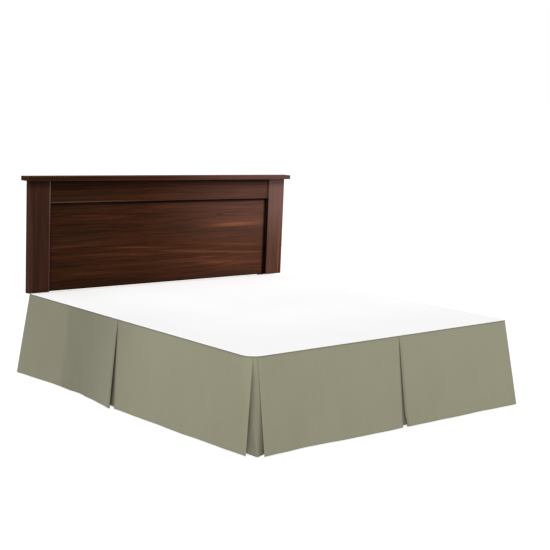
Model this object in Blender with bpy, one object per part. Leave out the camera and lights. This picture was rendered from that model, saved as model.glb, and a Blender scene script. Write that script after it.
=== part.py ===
"""A tailored bed skirt on a plain bed. Metres, +Z up, the head of the bed towards +Y.

The skirt is a white deck cloth on the bed's base, with three sage drops sewn to its edge.
Each drop is one sheet that runs from its seam to its hem, with an inverted pleat at its middle.
The two foot corners are split, and a corner insert hangs behind each split.
Sizes are given about the bed's centre; an empty then centres the whole outline on the origin.
"""
import math
from collections import namedtuple

import bmesh
import bpy
from mathutils import Vector

# ---------------------------------------------------------------- driving sizes
BED_WIDTH = 1.930
BED_LENGTH = 2.032
DECK_TOP = 0.472
HEM_HEIGHT = 0.008
SHEET = 0.0015
FIT = 0.0003
DECK_CORNER_STEPS = 8

HALF_WIDTH = BED_WIDTH / 2
HALF_LENGTH = BED_LENGTH / 2
SEAM_TOP = DECK_TOP - SHEET - FIT

# the drops
ROWS = 6
PANEL_STEP = 0.070
ROUND_STEP = 0.010
TURN_STEPS = 4
PLEAT_DEPTH = 0.080
PLEAT_SLIT = 0.0035
LAYERS_AT_SEAM = 0.0035
LAYERS_AT_HEM = 0.0080

# the corner inserts
INSERT_WING = 0.130
INSERT_SET_BACK = 0.0035
INSERT_TURN_STEPS = 6
INSERT_SIDE_IN = 0.004
INSERT_TIP_IN = 0.016
INSERT_FOOT_SLANT = 0.064
INSERT_CORNER_ROUND = 0.005

# the base and its frame
BASE_INSET = 0.0125
BASE_HEIGHT = 0.230
BASE_EDGE = 0.012
RAIL_DEPTH = 0.040
RAIL_THICK = 0.040
RAIL_INSET = 0.045
END_RAIL_INSET = 0.070
LEG_RADIUS = 0.016
GLIDE_RADIUS = 0.024
GLIDE_HEIGHT = 0.012
CENTRE_LEG_OUT = 0.500

# the headboard
BOARD_WIDTH = 2.016
BOARD_SHIFT = 0.036
BOARD_GAP = 0.003
BOARD_BOTTOM = 0.470
BOARD_TOP = 1.169
POST_WIDTH = 0.142
POST_THICK = 0.035
RAIL_SET_BACK = 0.010
TOP_RAIL_HEIGHT = 0.134
TOP_RAIL_THICK = 0.018
PANEL_SET_BACK = 0.025
PANEL_THICK = 0.010
CAP_THICK = 0.028
CAP_OVERHANG = 0.030
CAP_FRONT = 0.030
CAP_BACK = 0.012
BOARD_EDGE = 0.0015
CAP_EDGE = 0.004
STRUT_WIDTH = 0.040
STRUT_THICK = 0.030
STRUT_TOP = 1.040

# ---------------------------------------------------------------- the foot corners
# radius: of the deck's corner; side_stop and foot_start: where the side drop ends and the foot
# drop begins, turned from the end of the side's straight; insert_out: how far the insert's hem
# corner stands out at the foot.
Corner = namedtuple("Corner", "radius side_stop foot_start insert_out")
CORNERS = {
    "left": Corner(0.070, math.radians(53), math.radians(72), 0.058),
    "right": Corner(0.020, math.radians(30), math.radians(45), 0.096),
}
WIDEST_CORNER = max(corner.radius for corner in CORNERS.values())

# A side of the bed: its first corner, the way along it, the way out from it, its length, and the
# radius of the deck's corner at its start and at its end.
Side = namedtuple("Side", "corner along out length start_radius end_radius")
SIDES = {
    "left": Side(Vector((-HALF_WIDTH, HALF_LENGTH)), Vector((0, -1)), Vector((-1, 0)), BED_LENGTH,
                 0.0, CORNERS["left"].radius),
    "right": Side(Vector((HALF_WIDTH, HALF_LENGTH)), Vector((0, -1)), Vector((1, 0)), BED_LENGTH,
                  0.0, CORNERS["right"].radius),
    "foot": Side(Vector((-HALF_WIDTH, -HALF_LENGTH)), Vector((1, 0)), Vector((0, -1)), BED_WIDTH,
                 CORNERS["left"].radius, CORNERS["right"].radius),
}

# ---------------------------------------------------------------- tables of the drops
# seam: distance along the seam from the side's first corner; hem: the same along the hem;
# flare: how far the hem stands out from the plane under the seam.
Station = namedtuple("Station", "seam hem flare")
# A soft trough (rise below 0) or ridge from the seam to the hem, fading in downwards.
Fold = namedtuple("Fold", "seam hem rise half_width")
# first and second: the panels before and after the pleat; flick: how far the second panel's
# hem corner at the pleat is drawn along the hem; lift: how much shorter the layers behind are.
Drop = namedtuple("Drop", "first second folds flick lift")

# how far from the pleat a flick reaches, and the share of the fall where it starts
FLICK_REACH = 0.050
FLICK_START = 0.86


def side_stop(name):
    """Where a side drop ends, as a distance along its seam."""
    corner = CORNERS[name]
    return BED_LENGTH - corner.radius + corner.radius * corner.side_stop


FOOT_START = CORNERS["left"].radius * (1 - math.pi / 2 + CORNERS["left"].foot_start)
FOOT_END = BED_WIDTH - CORNERS["right"].radius * (1 - math.pi / 2 + CORNERS["right"].foot_start)

SIDE_DROP = Drop(
    first=(
        Station(seam=0.003, hem=0.016, flare=0.088),
        Station(seam=0.200, hem=0.209, flare=0.066),
        Station(seam=0.360, hem=0.369, flare=0.055),
        Station(seam=0.450, hem=0.456, flare=0.052),
        Station(seam=0.620, hem=0.629, flare=0.053),
        Station(seam=0.780, hem=0.801, flare=0.060),
        Station(seam=0.860, hem=0.894, flare=0.069),
        Station(seam=0.938, hem=0.997, flare=0.085),
    ),
    second=(
        Station(seam=0.938 + PLEAT_SLIT, hem=1.012, flare=0.065),
        Station(seam=1.060, hem=1.110, flare=0.060),
        Station(seam=1.400, hem=1.420, flare=0.048),
        Station(seam=1.720, hem=1.740, flare=0.035),
        Station(seam=side_stop("left"), hem=2.046, flare=0.019),
    ),
    folds=(
        Fold(seam=0.370, hem=0.640, rise=-0.009, half_width=0.110),
        Fold(seam=0.120, hem=0.200, rise=0.003, half_width=0.120),
        Fold(seam=1.500, hem=1.560, rise=0.003, half_width=0.200),
    ),
    flick=0.004,
    lift=0.003,
)
RIGHT_END = SIDE_DROP.second[-1]._replace(seam=side_stop("right"))
SIDE_DROPS = {
    "left": SIDE_DROP,
    "right": SIDE_DROP._replace(second=SIDE_DROP.second[:-1] + (RIGHT_END,)),
}

FOOT_DROP = Drop(
    first=(
        Station(seam=FOOT_START, hem=0.048, flare=0.070),
        Station(seam=0.180, hem=0.180, flare=0.071),
        Station(seam=0.345, hem=0.332, flare=0.070),
        Station(seam=0.700, hem=0.680, flare=0.091),
        Station(seam=1.013, hem=0.977, flare=0.101),
    ),
    second=(
        Station(seam=1.013 + PLEAT_SLIT, hem=0.998, flare=0.103),
        Station(seam=1.250, hem=1.236, flare=0.109),
        Station(seam=1.600, hem=1.588, flare=0.119),
        Station(seam=FOOT_END, hem=1.899, flare=0.135),
    ),
    folds=(
        Fold(seam=0.260, hem=0.300, rise=-0.003, half_width=0.160),
        Fold(seam=1.420, hem=1.400, rise=0.003, half_width=0.220),
    ),
    flick=0.013,
    lift=0.006,
)

# ---------------------------------------------------------------- the whole outline's centre
LEFT_REACH = HALF_WIDTH + max(s.flare for s in SIDE_DROP.first) + SHEET / 2
RIGHT_REACH = BOARD_SHIFT + BOARD_WIDTH / 2 + CAP_OVERHANG
FOOT_REACH = HALF_LENGTH + max(s.flare for s in FOOT_DROP.second) + SHEET / 2
HEAD_REACH = HALF_LENGTH + BOARD_GAP + POST_THICK + FIT + STRUT_THICK
BED_CENTRE_X = (LEFT_REACH - RIGHT_REACH) / 2
BED_CENTRE_Y = (FOOT_REACH - HEAD_REACH) / 2


# ---------------------------------------------------------------- scene, materials, objects
def clear_scene():
    for old in list(bpy.data.objects):
        bpy.data.objects.remove(old, do_unlink=True)


def make_material(name, colour, roughness, metallic=0.0):
    """A Principled material in one colour, given as linear RGB."""
    material = bpy.data.materials.new(name)
    material.use_nodes = True
    shader = material.node_tree.nodes["Principled BSDF"]
    shader.inputs["Base Color"].default_value = (*colour, 1.0)
    shader.inputs["Roughness"].default_value = roughness
    shader.inputs["Metallic"].default_value = metallic
    return material


def add_piece(name, shape, material):
    """Turns a bmesh into a named object under the bed's empty."""
    mesh = bpy.data.meshes.new(name)
    shape.to_mesh(mesh)
    shape.free()
    mesh.materials.append(material)
    piece = bpy.data.objects.new(name, mesh)
    piece.parent = bpy.data.objects["bed_centre"]
    bpy.context.collection.objects.link(piece)
    return piece


def add_board(name, low, high, material, edge=0.0):
    """A straight board between two corners, with its edges eased."""
    low, high = Vector(low), Vector(high)
    shape = bmesh.new()
    bmesh.ops.create_cube(shape, size=1.0)
    bmesh.ops.scale(shape, vec=high - low, verts=shape.verts)
    bmesh.ops.translate(shape, vec=(low + high) / 2, verts=shape.verts)
    if edge:
        bmesh.ops.bevel(shape, geom=shape.edges[:], offset=edge, segments=1, affect="EDGES")
    return add_piece(name, shape, material)


def add_round(name, centre, radius, bottom, top, material, edge=0.0):
    """An upright round bar or disc."""
    shape = bmesh.new()
    bmesh.ops.create_cone(shape, cap_ends=True, segments=16, radius1=radius, radius2=radius,
                          depth=top - bottom)
    bmesh.ops.translate(shape, vec=(centre[0], centre[1], (bottom + top) / 2), verts=shape.verts)
    if edge:
        rims = [e for e in shape.edges if abs(e.verts[0].co.z - e.verts[1].co.z) < FIT]
        bmesh.ops.bevel(shape, geom=rims, offset=edge, segments=1, affect="EDGES")
    piece = add_piece(name, shape, material)
    piece.data.shade_smooth()
    piece.data.set_sharp_from_angle(angle=math.radians(40))
    return piece


# ---------------------------------------------------------------- cloth
def smooth_value(points, place):
    """A smooth curve through (place, value) points: cubic pieces with slopes from the neighbours."""
    places = [p[0] for p in points]
    last = len(points) - 1
    index = 0
    while index < last - 1 and place > places[index + 1]:
        index += 1

    def slope(i):
        before, after = max(i - 1, 0), min(i + 1, last)
        return (points[after][1] - points[before][1]) / (places[after] - places[before])

    width = places[index + 1] - places[index]
    t = (place - places[index]) / width
    start, end = points[index][1], points[index + 1][1]
    return ((2 * t**3 - 3 * t**2 + 1) * start + (t**3 - 2 * t**2 + t) * width * slope(index)
            + (3 * t**2 - 2 * t**3) * end + (t**3 - t**2) * width * slope(index + 1))


def seam_point(side, distance, set_back=0.0):
    """A point of the deck's edge as (along, out): straight, then round the foot corners."""
    start, end = side.start_radius, side.length - side.end_radius
    if start <= distance <= end:
        return Vector((distance, -set_back))
    centre, radius = (start, side.start_radius) if distance < start else (end, side.end_radius)
    turn = (distance - centre) / radius
    inner = radius - set_back
    return Vector((centre + inner * math.sin(turn), inner * math.cos(turn) - radius))


def panel_point(side, panel, folds, seam, fall):
    """A point of a drop's outer layer as (along, out); fall runs from 0 at the seam to 1 at the hem."""
    top = seam_point(side, seam, SHEET / 2)
    hem = Vector((smooth_value([(s.seam, s.hem) for s in panel], seam),
                  smooth_value([(s.seam, s.flare) for s in panel], seam)))
    point = top.lerp(hem, fall)
    for fold in folds:
        crest = fold.seam + (fold.hem - fold.seam) * fall
        reach = (point.x - crest) / fold.half_width
        if abs(reach) < 1:
            point.y += fold.rise * fall * (0.5 + 0.5 * math.cos(math.pi * reach))
    return point


def half_turn(start, end, bulge):
    """Points of a half circle between two points; bulge is the way it swells along the side."""
    middle = (start + end) / 2
    arm = (start - end) / 2
    swell = Vector((bulge * arm.length, 0))
    angles = [math.pi * step / TURN_STEPS for step in range(TURN_STEPS + 1)]
    return [middle + arm * math.cos(a) + swell * math.sin(a) for a in angles]


def spread(first, last, step):
    """Evenly spaced values from first to last, no further apart than the step."""
    count = math.ceil(abs(last - first) / step)
    return [first + (last - first) * i / count for i in range(count + 1)]


def columns(side, first, last):
    """Places along a panel: wide steps on the straight, close ones round a foot corner."""
    start = min(max(first, side.start_radius), last)
    end = max(min(last, side.length - side.end_radius), first)
    places = spread(start, end, PANEL_STEP)
    if start > first:
        places = spread(first, start, ROUND_STEP)[:-1] + places
    if end < last:
        places += spread(end, last, ROUND_STEP)[1:]
    return places


def flick_shift(drop, seam, fall):
    """How far along a point near the pleat is drawn: only near the second panel's hem corner."""
    down = max(0.0, (fall - FLICK_START) / (1 - FLICK_START))
    near = max(0.0, 1 - (seam - drop.second[0].seam) / FLICK_REACH)
    return Vector((drop.flick * down * near, 0))


def drop_row(side, drop, fall):
    """One line of a drop, as (along, out, lift): panel, three pleat layers, panel.

    The pleat's edge turns under, runs back, turns again, crosses behind both panels as the
    underlay, and comes back to the second panel's edge in the same way. The layers behind the
    panels are a little shorter: their lift grows from 0 at the seam to its whole at the hem.
    """
    layers = LAYERS_AT_SEAM + (LAYERS_AT_HEM - LAYERS_AT_SEAM) * fall
    behind = Vector((0, -layers))
    inset = Vector((layers / 2, 0))
    before, after = drop.first[-1].seam, drop.second[0].seam

    def first(seam):
        return panel_point(side, drop.first, drop.folds, seam, fall)

    def second(seam):
        return panel_point(side, drop.second, drop.folds, seam, fall) + flick_shift(drop, seam, fall)

    edge_1, edge_2 = first(before) - inset, second(after) + inset
    inner_1, inner_2 = first(before - PLEAT_DEPTH) + inset, second(after + PLEAT_DEPTH) - inset
    outer_1 = [first(seam) for seam in columns(side, drop.first[0].seam, before)[:-1]]
    outer_2 = [second(seam) for seam in columns(side, after, drop.second[-1].seam)[1:]]
    underlay_1, underlay_2 = inner_1 + behind * 2, inner_2 + behind * 2
    underlay = [underlay_1.lerp(underlay_2, step / 4) for step in range(1, 4)]
    hidden = ([(edge_1 + inner_1) / 2 + behind]
              + half_turn(inner_1 + behind, underlay_1, -1)
              + underlay
              + half_turn(underlay_2, inner_2 + behind, 1)
              + [(edge_2 + inner_2) / 2 + behind])
    return (lifted(outer_1 + half_turn(edge_1, edge_1 + behind, 1), 0.0)
            + lifted(hidden, drop.lift * fall)
            + lifted(half_turn(edge_2 + behind, edge_2, -1) + outer_2, 0.0))


def lifted(points, lift):
    """Flat points as (along, out, lift)."""
    return [Vector((p.x, p.y, lift)) for p in points]


def add_sheet(name, side, rows, material):
    """A sheet through rows of (along, out, lift) points, from the seam down to the hem."""
    shape = bmesh.new()
    lines = []
    for index, row in enumerate(rows):
        height = SEAM_TOP + (HEM_HEIGHT - SEAM_TOP) * index / (len(rows) - 1)
        flat = [side.corner + side.along * p.x + side.out * p.y for p in row]
        lines.append([shape.verts.new((p.x, p.y, height + q.z)) for p, q in zip(flat, row)])
    for upper, lower in zip(lines, lines[1:]):
        for i in range(len(upper) - 1):
            shape.faces.new((upper[i], upper[i + 1], lower[i + 1], lower[i]))
    sheet = add_piece(name, shape, material)
    sheet.data.shade_smooth()
    solidify = sheet.modifiers.new("thickness", "SOLIDIFY")
    solidify.thickness = SHEET
    solidify.offset = 0.0
    solidify.use_even_offset = True
    return sheet


def add_drop(name, side, drop, material):
    rows = [drop_row(side, drop, row / ROWS) for row in range(ROWS + 1)]
    return add_sheet(name, side, rows, material)


def insert_row(side, foot_out, fall):
    """One level line of a corner insert: a wing along the side, the corner, a wing at the foot.

    The hem draws in from the side towards its corner, and back from there along the foot.
    """
    set_back = SHEET / 2 + INSERT_SET_BACK
    length, radius = side.length, side.end_radius
    start, inward = length - radius - INSERT_WING, -radius - INSERT_WING
    tip = Vector((length + foot_out, -INSERT_TIP_IN))
    side_end = Vector((start, -INSERT_SIDE_IN))
    foot_end = Vector((length + foot_out - INSERT_FOOT_SLANT, inward))
    before = tip + (side_end - tip).normalized() * INSERT_CORNER_ROUND
    after = tip + (foot_end - tip).normalized() * INSERT_CORNER_ROUND
    seam = [seam_point(side, start, set_back), seam_point(side, start + INSERT_WING / 2, set_back)]
    hem = [side_end, side_end.lerp(before, 0.5)]
    for step in range(INSERT_TURN_STEPS + 1):
        part = step / INSERT_TURN_STEPS
        seam.append(seam_point(side, length - radius + radius * math.pi / 2 * part, set_back))
        hem.append(before.lerp(tip, part).lerp(tip.lerp(after, part), part))
    seam += [Vector((length - set_back, inward * 0.6)), Vector((length - set_back, inward))]
    hem += [after.lerp(foot_end, 0.5), foot_end]
    return lifted([top.lerp(bottom, fall) for top, bottom in zip(seam, hem)], 0.0)


def add_insert(name, side, foot_out, material):
    rows = [insert_row(side, foot_out, row / ROWS) for row in range(ROWS + 1)]
    return add_sheet(name, side, rows, material)


def add_deck(material):
    """The white platform cloth: square at the head, round at the foot corners."""
    outline = []
    for name, sign, start in (("left", -1, math.pi), ("right", 1, 1.5 * math.pi)):
        radius = CORNERS[name].radius
        centre = Vector((sign * (HALF_WIDTH - radius), radius - HALF_LENGTH))
        for step in range(DECK_CORNER_STEPS + 1):
            turn = start + math.pi / 2 * step / DECK_CORNER_STEPS
            outline.append(centre + Vector((math.cos(turn), math.sin(turn))) * radius)
    outline += [Vector((HALF_WIDTH, HALF_LENGTH)), Vector((-HALF_WIDTH, HALF_LENGTH))]
    shape = bmesh.new()
    face = shape.faces.new([shape.verts.new((p.x, p.y, DECK_TOP - SHEET)) for p in outline])
    raised = bmesh.ops.extrude_face_region(shape, geom=[face])["geom"]
    corners = [item for item in raised if isinstance(item, bmesh.types.BMVert)]
    bmesh.ops.translate(shape, vec=(0, 0, SHEET), verts=corners)
    bmesh.ops.recalc_face_normals(shape, faces=shape.faces)
    return add_piece("deck", shape, material)


# ---------------------------------------------------------------- the bed
def add_base(material):
    """The padded base: a block with round upright corners and soft edges."""
    low = Vector((BASE_INSET - HALF_WIDTH, BASE_INSET - HALF_LENGTH, SEAM_TOP - BASE_HEIGHT))
    high = Vector((HALF_WIDTH - BASE_INSET, HALF_LENGTH - BASE_INSET, SEAM_TOP))
    shape = bmesh.new()
    bmesh.ops.create_cube(shape, size=1.0)
    bmesh.ops.scale(shape, vec=high - low, verts=shape.verts)
    bmesh.ops.translate(shape, vec=(low + high) / 2, verts=shape.verts)
    upright = [e for e in shape.edges if abs(e.verts[0].co.z - e.verts[1].co.z) > FIT]
    bmesh.ops.bevel(shape, geom=upright, offset=WIDEST_CORNER - BASE_INSET, segments=6, affect="EDGES")
    level = [e for e in shape.edges if abs(e.verts[0].co.z - e.verts[1].co.z) < FIT]
    bmesh.ops.bevel(shape, geom=level, offset=BASE_EDGE, segments=2, affect="EDGES")
    return add_piece("box_base", shape, material)


def add_frame(steel, rubber):
    """Five steel tubes under the base, and six legs with their floor glides."""
    top = SEAM_TOP - BASE_HEIGHT - FIT
    bottom = top - RAIL_DEPTH
    outer = HALF_WIDTH - RAIL_INSET
    inner = outer - RAIL_THICK
    head_end = HEAD_REACH - STRUT_THICK - FIT
    foot_end = END_RAIL_INSET - HALF_LENGTH
    head_rail = HALF_LENGTH - END_RAIL_INSET
    add_board("rail_left", (-outer, foot_end, bottom), (-inner, head_end, top), steel)
    add_board("rail_right", (inner, foot_end, bottom), (outer, head_end, top), steel)
    reach = inner - FIT
    add_board("rail_foot", (-reach, foot_end, bottom), (reach, foot_end + RAIL_THICK, top), steel)
    add_board("rail_head", (-reach, head_rail - RAIL_THICK, bottom), (reach, head_rail, top), steel)
    half = RAIL_THICK / 2
    add_board("rail_centre", (-half, foot_end + RAIL_THICK + FIT, bottom),
              (half, head_rail - RAIL_THICK - FIT, top), steel)
    row = outer - half
    places = {
        "front_left": (-row, foot_end + half), "front_right": (row, foot_end + half),
        "back_left": (-row, head_rail - half), "back_right": (row, head_rail - half),
        "centre_front": (0, -CENTRE_LEG_OUT), "centre_back": (0, CENTRE_LEG_OUT),
    }
    for place, centre in places.items():
        add_round(f"leg_{place}", centre, LEG_RADIUS, GLIDE_HEIGHT + FIT, bottom - FIT, steel)
        add_round(f"foot_{place}", centre, GLIDE_RADIUS, 0, GLIDE_HEIGHT, rubber, edge=0.002)


def add_headboard(wood, back_wood):
    """Two wide posts, a set-back top rail and panel, a cap that overhangs, and two struts."""
    front = HALF_LENGTH + BOARD_GAP
    back = front + POST_THICK
    outer = BOARD_WIDTH / 2
    inner = outer - POST_WIDTH
    cap_bottom = BOARD_TOP - CAP_THICK
    boards_top = cap_bottom - FIT
    rail_bottom = boards_top - TOP_RAIL_HEIGHT
    for name, sign in (("left", -1), ("right", 1)):
        near, far = sorted((BOARD_SHIFT + sign * inner, BOARD_SHIFT + sign * outer))
        add_board(f"post_{name}", (near, front, BOARD_BOTTOM), (far, back, boards_top), wood, BOARD_EDGE)
        middle = sign * (HALF_WIDTH - RAIL_INSET - RAIL_THICK / 2)
        half = STRUT_WIDTH / 2
        add_board(f"strut_{name}", (middle - half, back + FIT, 0),
                  (middle + half, back + FIT + STRUT_THICK, STRUT_TOP), back_wood, BOARD_EDGE)
    left, right = BOARD_SHIFT - inner + FIT, BOARD_SHIFT + inner - FIT
    rail_front = front + RAIL_SET_BACK
    add_board("top_rail", (left, rail_front, rail_bottom),
              (right, rail_front + TOP_RAIL_THICK, boards_top), wood, BOARD_EDGE)
    panel_front = front + PANEL_SET_BACK
    add_board("panel", (left, panel_front, BOARD_BOTTOM),
              (right, panel_front + PANEL_THICK, rail_bottom - FIT), wood, BOARD_EDGE / 3)
    reach = outer + CAP_OVERHANG
    add_board("cap", (BOARD_SHIFT - reach, front - CAP_FRONT, cap_bottom),
              (BOARD_SHIFT + reach, back + CAP_BACK, BOARD_TOP), wood, CAP_EDGE)


def build():
    clear_scene()
    centre = bpy.data.objects.new("bed_centre", None)
    centre.location = (BED_CENTRE_X, BED_CENTRE_Y, 0)
    bpy.context.collection.objects.link(centre)

    sage = make_material("sage_cloth", (0.290, 0.280, 0.203), 0.90)
    white = make_material("deck_cloth", (0.900, 0.900, 0.900), 0.85)
    ticking = make_material("base_ticking", (0.700, 0.690, 0.660), 0.90)
    steel = make_material("dark_steel", (0.030, 0.030, 0.032), 0.45, 0.8)
    rubber = make_material("glide_rubber", (0.020, 0.020, 0.020), 0.70)
    wood = make_material("dark_wood", (0.045, 0.017, 0.009), 0.40)
    back_wood = make_material("strut_wood", (0.040, 0.018, 0.010), 0.55)

    add_deck(white)
    for name in ("left", "right"):
        add_drop(f"drop_{name}", SIDES[name], SIDE_DROPS[name], sage)
        add_insert(f"insert_{name}", SIDES[name], CORNERS[name].insert_out, sage)
    add_drop("drop_foot", SIDES["foot"], FOOT_DROP, sage)
    add_base(ticking)
    add_frame(steel, rubber)
    add_headboard(wood, back_wood)


build()
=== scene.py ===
"""The looks of a tailored bed skirt on a plain bed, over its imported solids.

Metres, +Z up, the head of the bed towards +Y. The bed's own size and place are read from the frame.
Values with the names of the solids' sizes repeat them; the drops' tables do so too.
"""
import math
from collections import namedtuple

import bpy
import numpy as np
from mathutils import Matrix, Vector


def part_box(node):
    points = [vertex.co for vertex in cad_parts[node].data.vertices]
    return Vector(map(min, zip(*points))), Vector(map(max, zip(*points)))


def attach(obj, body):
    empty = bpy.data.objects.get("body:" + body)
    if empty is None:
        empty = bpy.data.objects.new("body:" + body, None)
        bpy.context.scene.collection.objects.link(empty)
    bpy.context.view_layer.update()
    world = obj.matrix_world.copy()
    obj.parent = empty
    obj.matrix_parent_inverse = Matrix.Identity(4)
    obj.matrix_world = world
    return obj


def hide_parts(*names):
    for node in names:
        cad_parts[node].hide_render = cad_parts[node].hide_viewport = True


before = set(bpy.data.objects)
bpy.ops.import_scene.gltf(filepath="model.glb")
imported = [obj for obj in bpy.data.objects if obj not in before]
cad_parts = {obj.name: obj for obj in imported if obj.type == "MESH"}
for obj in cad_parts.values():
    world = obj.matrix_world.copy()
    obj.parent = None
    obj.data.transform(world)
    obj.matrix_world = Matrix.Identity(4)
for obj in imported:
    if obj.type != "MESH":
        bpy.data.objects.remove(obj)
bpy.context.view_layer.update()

# ---------------------------------------------------------------- sizes read from the frame
DECK_LOW, DECK_HIGH = (np.array(corner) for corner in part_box("deck"))
HALF_WIDTH = (DECK_HIGH[0] - DECK_LOW[0]) / 2
HALF_LENGTH = (DECK_HIGH[1] - DECK_LOW[1]) / 2
BED_WIDTH, BED_LENGTH = 2 * HALF_WIDTH, 2 * HALF_LENGTH
BED_CENTRE = (DECK_HIGH + DECK_LOW)[:2] / 2
DECK_TOP = DECK_HIGH[2]
SEAM_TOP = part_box("drop_left")[1][2]
HEM_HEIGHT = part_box("drop_left")[0][2]

# ---------------------------------------------------------------- sizes that repeat the solids'
SHEET = 0.0015
PLEAT_DEPTH = 0.080
PLEAT_SLIT = 0.0035
LAYERS_AT_SEAM = 0.0035
LAYERS_AT_HEM = 0.0080
INSERT_WING = 0.130
INSERT_SET_BACK = 0.0035
INSERT_SIDE_IN = 0.004
INSERT_TIP_IN = 0.016
INSERT_FOOT_SLANT = 0.064
INSERT_CORNER_ROUND = 0.005

# radius: of the deck's corner; side_stop and foot_start: where the side drop ends and the foot
# drop begins, turned from the end of the side's straight; insert_out: how far the insert's hem
# corner stands out at the foot.
Corner = namedtuple("Corner", "radius side_stop foot_start insert_out")
CORNERS = {
    "left": Corner(0.070, math.radians(53), math.radians(72), 0.058),
    "right": Corner(0.020, math.radians(30), math.radians(45), 0.096),
}

# A side of the bed: its first corner, the way along it, the way out from it, its length, and the
# radius of the deck's corner at its start and at its end.
Side = namedtuple("Side", "corner along out length start_radius end_radius")
SIDES = {
    "left": Side((DECK_LOW[0], DECK_HIGH[1]), (0, -1), (-1, 0), BED_LENGTH, 0.0,
                 CORNERS["left"].radius),
    "right": Side((DECK_HIGH[0], DECK_HIGH[1]), (0, -1), (1, 0), BED_LENGTH, 0.0,
                  CORNERS["right"].radius),
    "foot": Side((DECK_LOW[0], DECK_LOW[1]), (1, 0), (0, -1), BED_WIDTH,
                 CORNERS["left"].radius, CORNERS["right"].radius),
}

# ---------------------------------------------------------------- the cloth as it is sewn
CLOTH_THICK = 0.0011
HEM_THICK = 0.0019
HEM_DEPTH = 0.024
SIDE_HEM_DEPTH = 0.012
SEAM_ROLL = 0.0010
SEAM_ROLL_DEPTH = 0.012
# how far down the painted shade under the seam reaches, and how far down it is whole
SEAM_SHADE_DEPTH = 0.008
SEAM_SHADE_WHOLE = 0.35 * SEAM_SHADE_DEPTH
STITCH_PITCH = 0.0034
STITCH_LENGTH = 0.0025
STITCH_WIDTH = 0.0006
STITCH_HEIGHT = 0.8 * HEM_DEPTH

# steps of the cloth's grid: along the straight and round a corner, round a turned edge, and
# across the layers behind a pleat; how far from a pleat the panels draw in behind its edge
COLUMN_STEP = 0.010
ROUND_STEP = 0.004
TURN_STEPS = 6
TURNED_BACK_STEPS = 8
UNDERLAY_STEPS = 16
TUCK_REACH = 3 * COLUMN_STEP

# rows of the cloth's grid: in the seam's roll, down the fall, in the hem, and the short step
# where the cloth thickens to its hem
ROLL_ROWS = 7
FALL_ROWS = 44
HEM_ROWS = 6
HEM_STEP = 0.0006

# points along an insert's wing and round its corner
WING_POINTS = 14
CORNER_POINTS = 13

# ---------------------------------------------------------------- tables of the drops
Station = namedtuple("Station", "seam hem flare")
Fold = namedtuple("Fold", "seam hem rise half_width")
Drop = namedtuple("Drop", "first second folds flick lift")
# A slow wave of the cloth along a drop: it grows from nothing at the seam to its rise at the hem.
Wave = namedtuple("Wave", "length drift rise phase")

# how far from the pleat a hem corner's flick reaches, and the share of the fall where it starts
FLICK_REACH = 0.050
FLICK_START = 0.86


def side_stop(name):
    """Where a side drop ends, as a distance along its seam."""
    corner = CORNERS[name]
    return BED_LENGTH - corner.radius + corner.radius * corner.side_stop


FOOT_START = CORNERS["left"].radius * (1 - math.pi / 2 + CORNERS["left"].foot_start)
FOOT_END = BED_WIDTH - CORNERS["right"].radius * (1 - math.pi / 2 + CORNERS["right"].foot_start)

SIDE_DROP = Drop(
    first=(
        Station(seam=0.003, hem=0.016, flare=0.088),
        Station(seam=0.200, hem=0.209, flare=0.066),
        Station(seam=0.360, hem=0.369, flare=0.055),
        Station(seam=0.450, hem=0.456, flare=0.052),
        Station(seam=0.620, hem=0.629, flare=0.053),
        Station(seam=0.780, hem=0.801, flare=0.060),
        Station(seam=0.860, hem=0.894, flare=0.069),
        Station(seam=0.938, hem=0.997, flare=0.085),
    ),
    second=(
        Station(seam=0.938 + PLEAT_SLIT, hem=1.012, flare=0.065),
        Station(seam=1.060, hem=1.110, flare=0.060),
        Station(seam=1.400, hem=1.420, flare=0.048),
        Station(seam=1.720, hem=1.740, flare=0.035),
        Station(seam=side_stop("left"), hem=2.046, flare=0.019),
    ),
    folds=(
        Fold(seam=0.370, hem=0.640, rise=-0.009, half_width=0.110),
        Fold(seam=0.120, hem=0.200, rise=0.003, half_width=0.120),
        Fold(seam=1.500, hem=1.560, rise=0.003, half_width=0.200),
    ),
    flick=0.004,
    lift=0.003,
)
RIGHT_END = SIDE_DROP.second[-1]._replace(seam=side_stop("right"))
SIDE_DROPS = {
    "left": SIDE_DROP,
    "right": SIDE_DROP._replace(second=SIDE_DROP.second[:-1] + (RIGHT_END,)),
}

FOOT_DROP = Drop(
    first=(
        Station(seam=FOOT_START, hem=0.048, flare=0.070),
        Station(seam=0.180, hem=0.180, flare=0.071),
        Station(seam=0.345, hem=0.332, flare=0.070),
        Station(seam=0.700, hem=0.680, flare=0.091),
        Station(seam=1.013, hem=0.977, flare=0.101),
    ),
    second=(
        Station(seam=1.013 + PLEAT_SLIT, hem=0.998, flare=0.103),
        Station(seam=1.250, hem=1.236, flare=0.109),
        Station(seam=1.600, hem=1.588, flare=0.119),
        Station(seam=FOOT_END, hem=1.899, flare=0.135),
    ),
    folds=(
        Fold(seam=0.260, hem=0.300, rise=-0.003, half_width=0.160),
        Fold(seam=1.420, hem=1.400, rise=0.003, half_width=0.220),
    ),
    flick=0.013,
    lift=0.006,
)

SIDE_WAVES = (
    Wave(length=0.330, drift=0.060, rise=0.0011, phase=0.4),
    Wave(length=0.147, drift=-0.040, rise=0.0005, phase=2.1),
    Wave(length=0.079, drift=0.020, rise=0.0002, phase=4.0),
)
FOOT_WAVES = (
    Wave(length=0.290, drift=-0.050, rise=0.0010, phase=1.2),
    Wave(length=0.163, drift=0.030, rise=0.0006, phase=3.3),
    Wave(length=0.071, drift=-0.020, rise=0.0002, phase=0.6),
)
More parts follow.
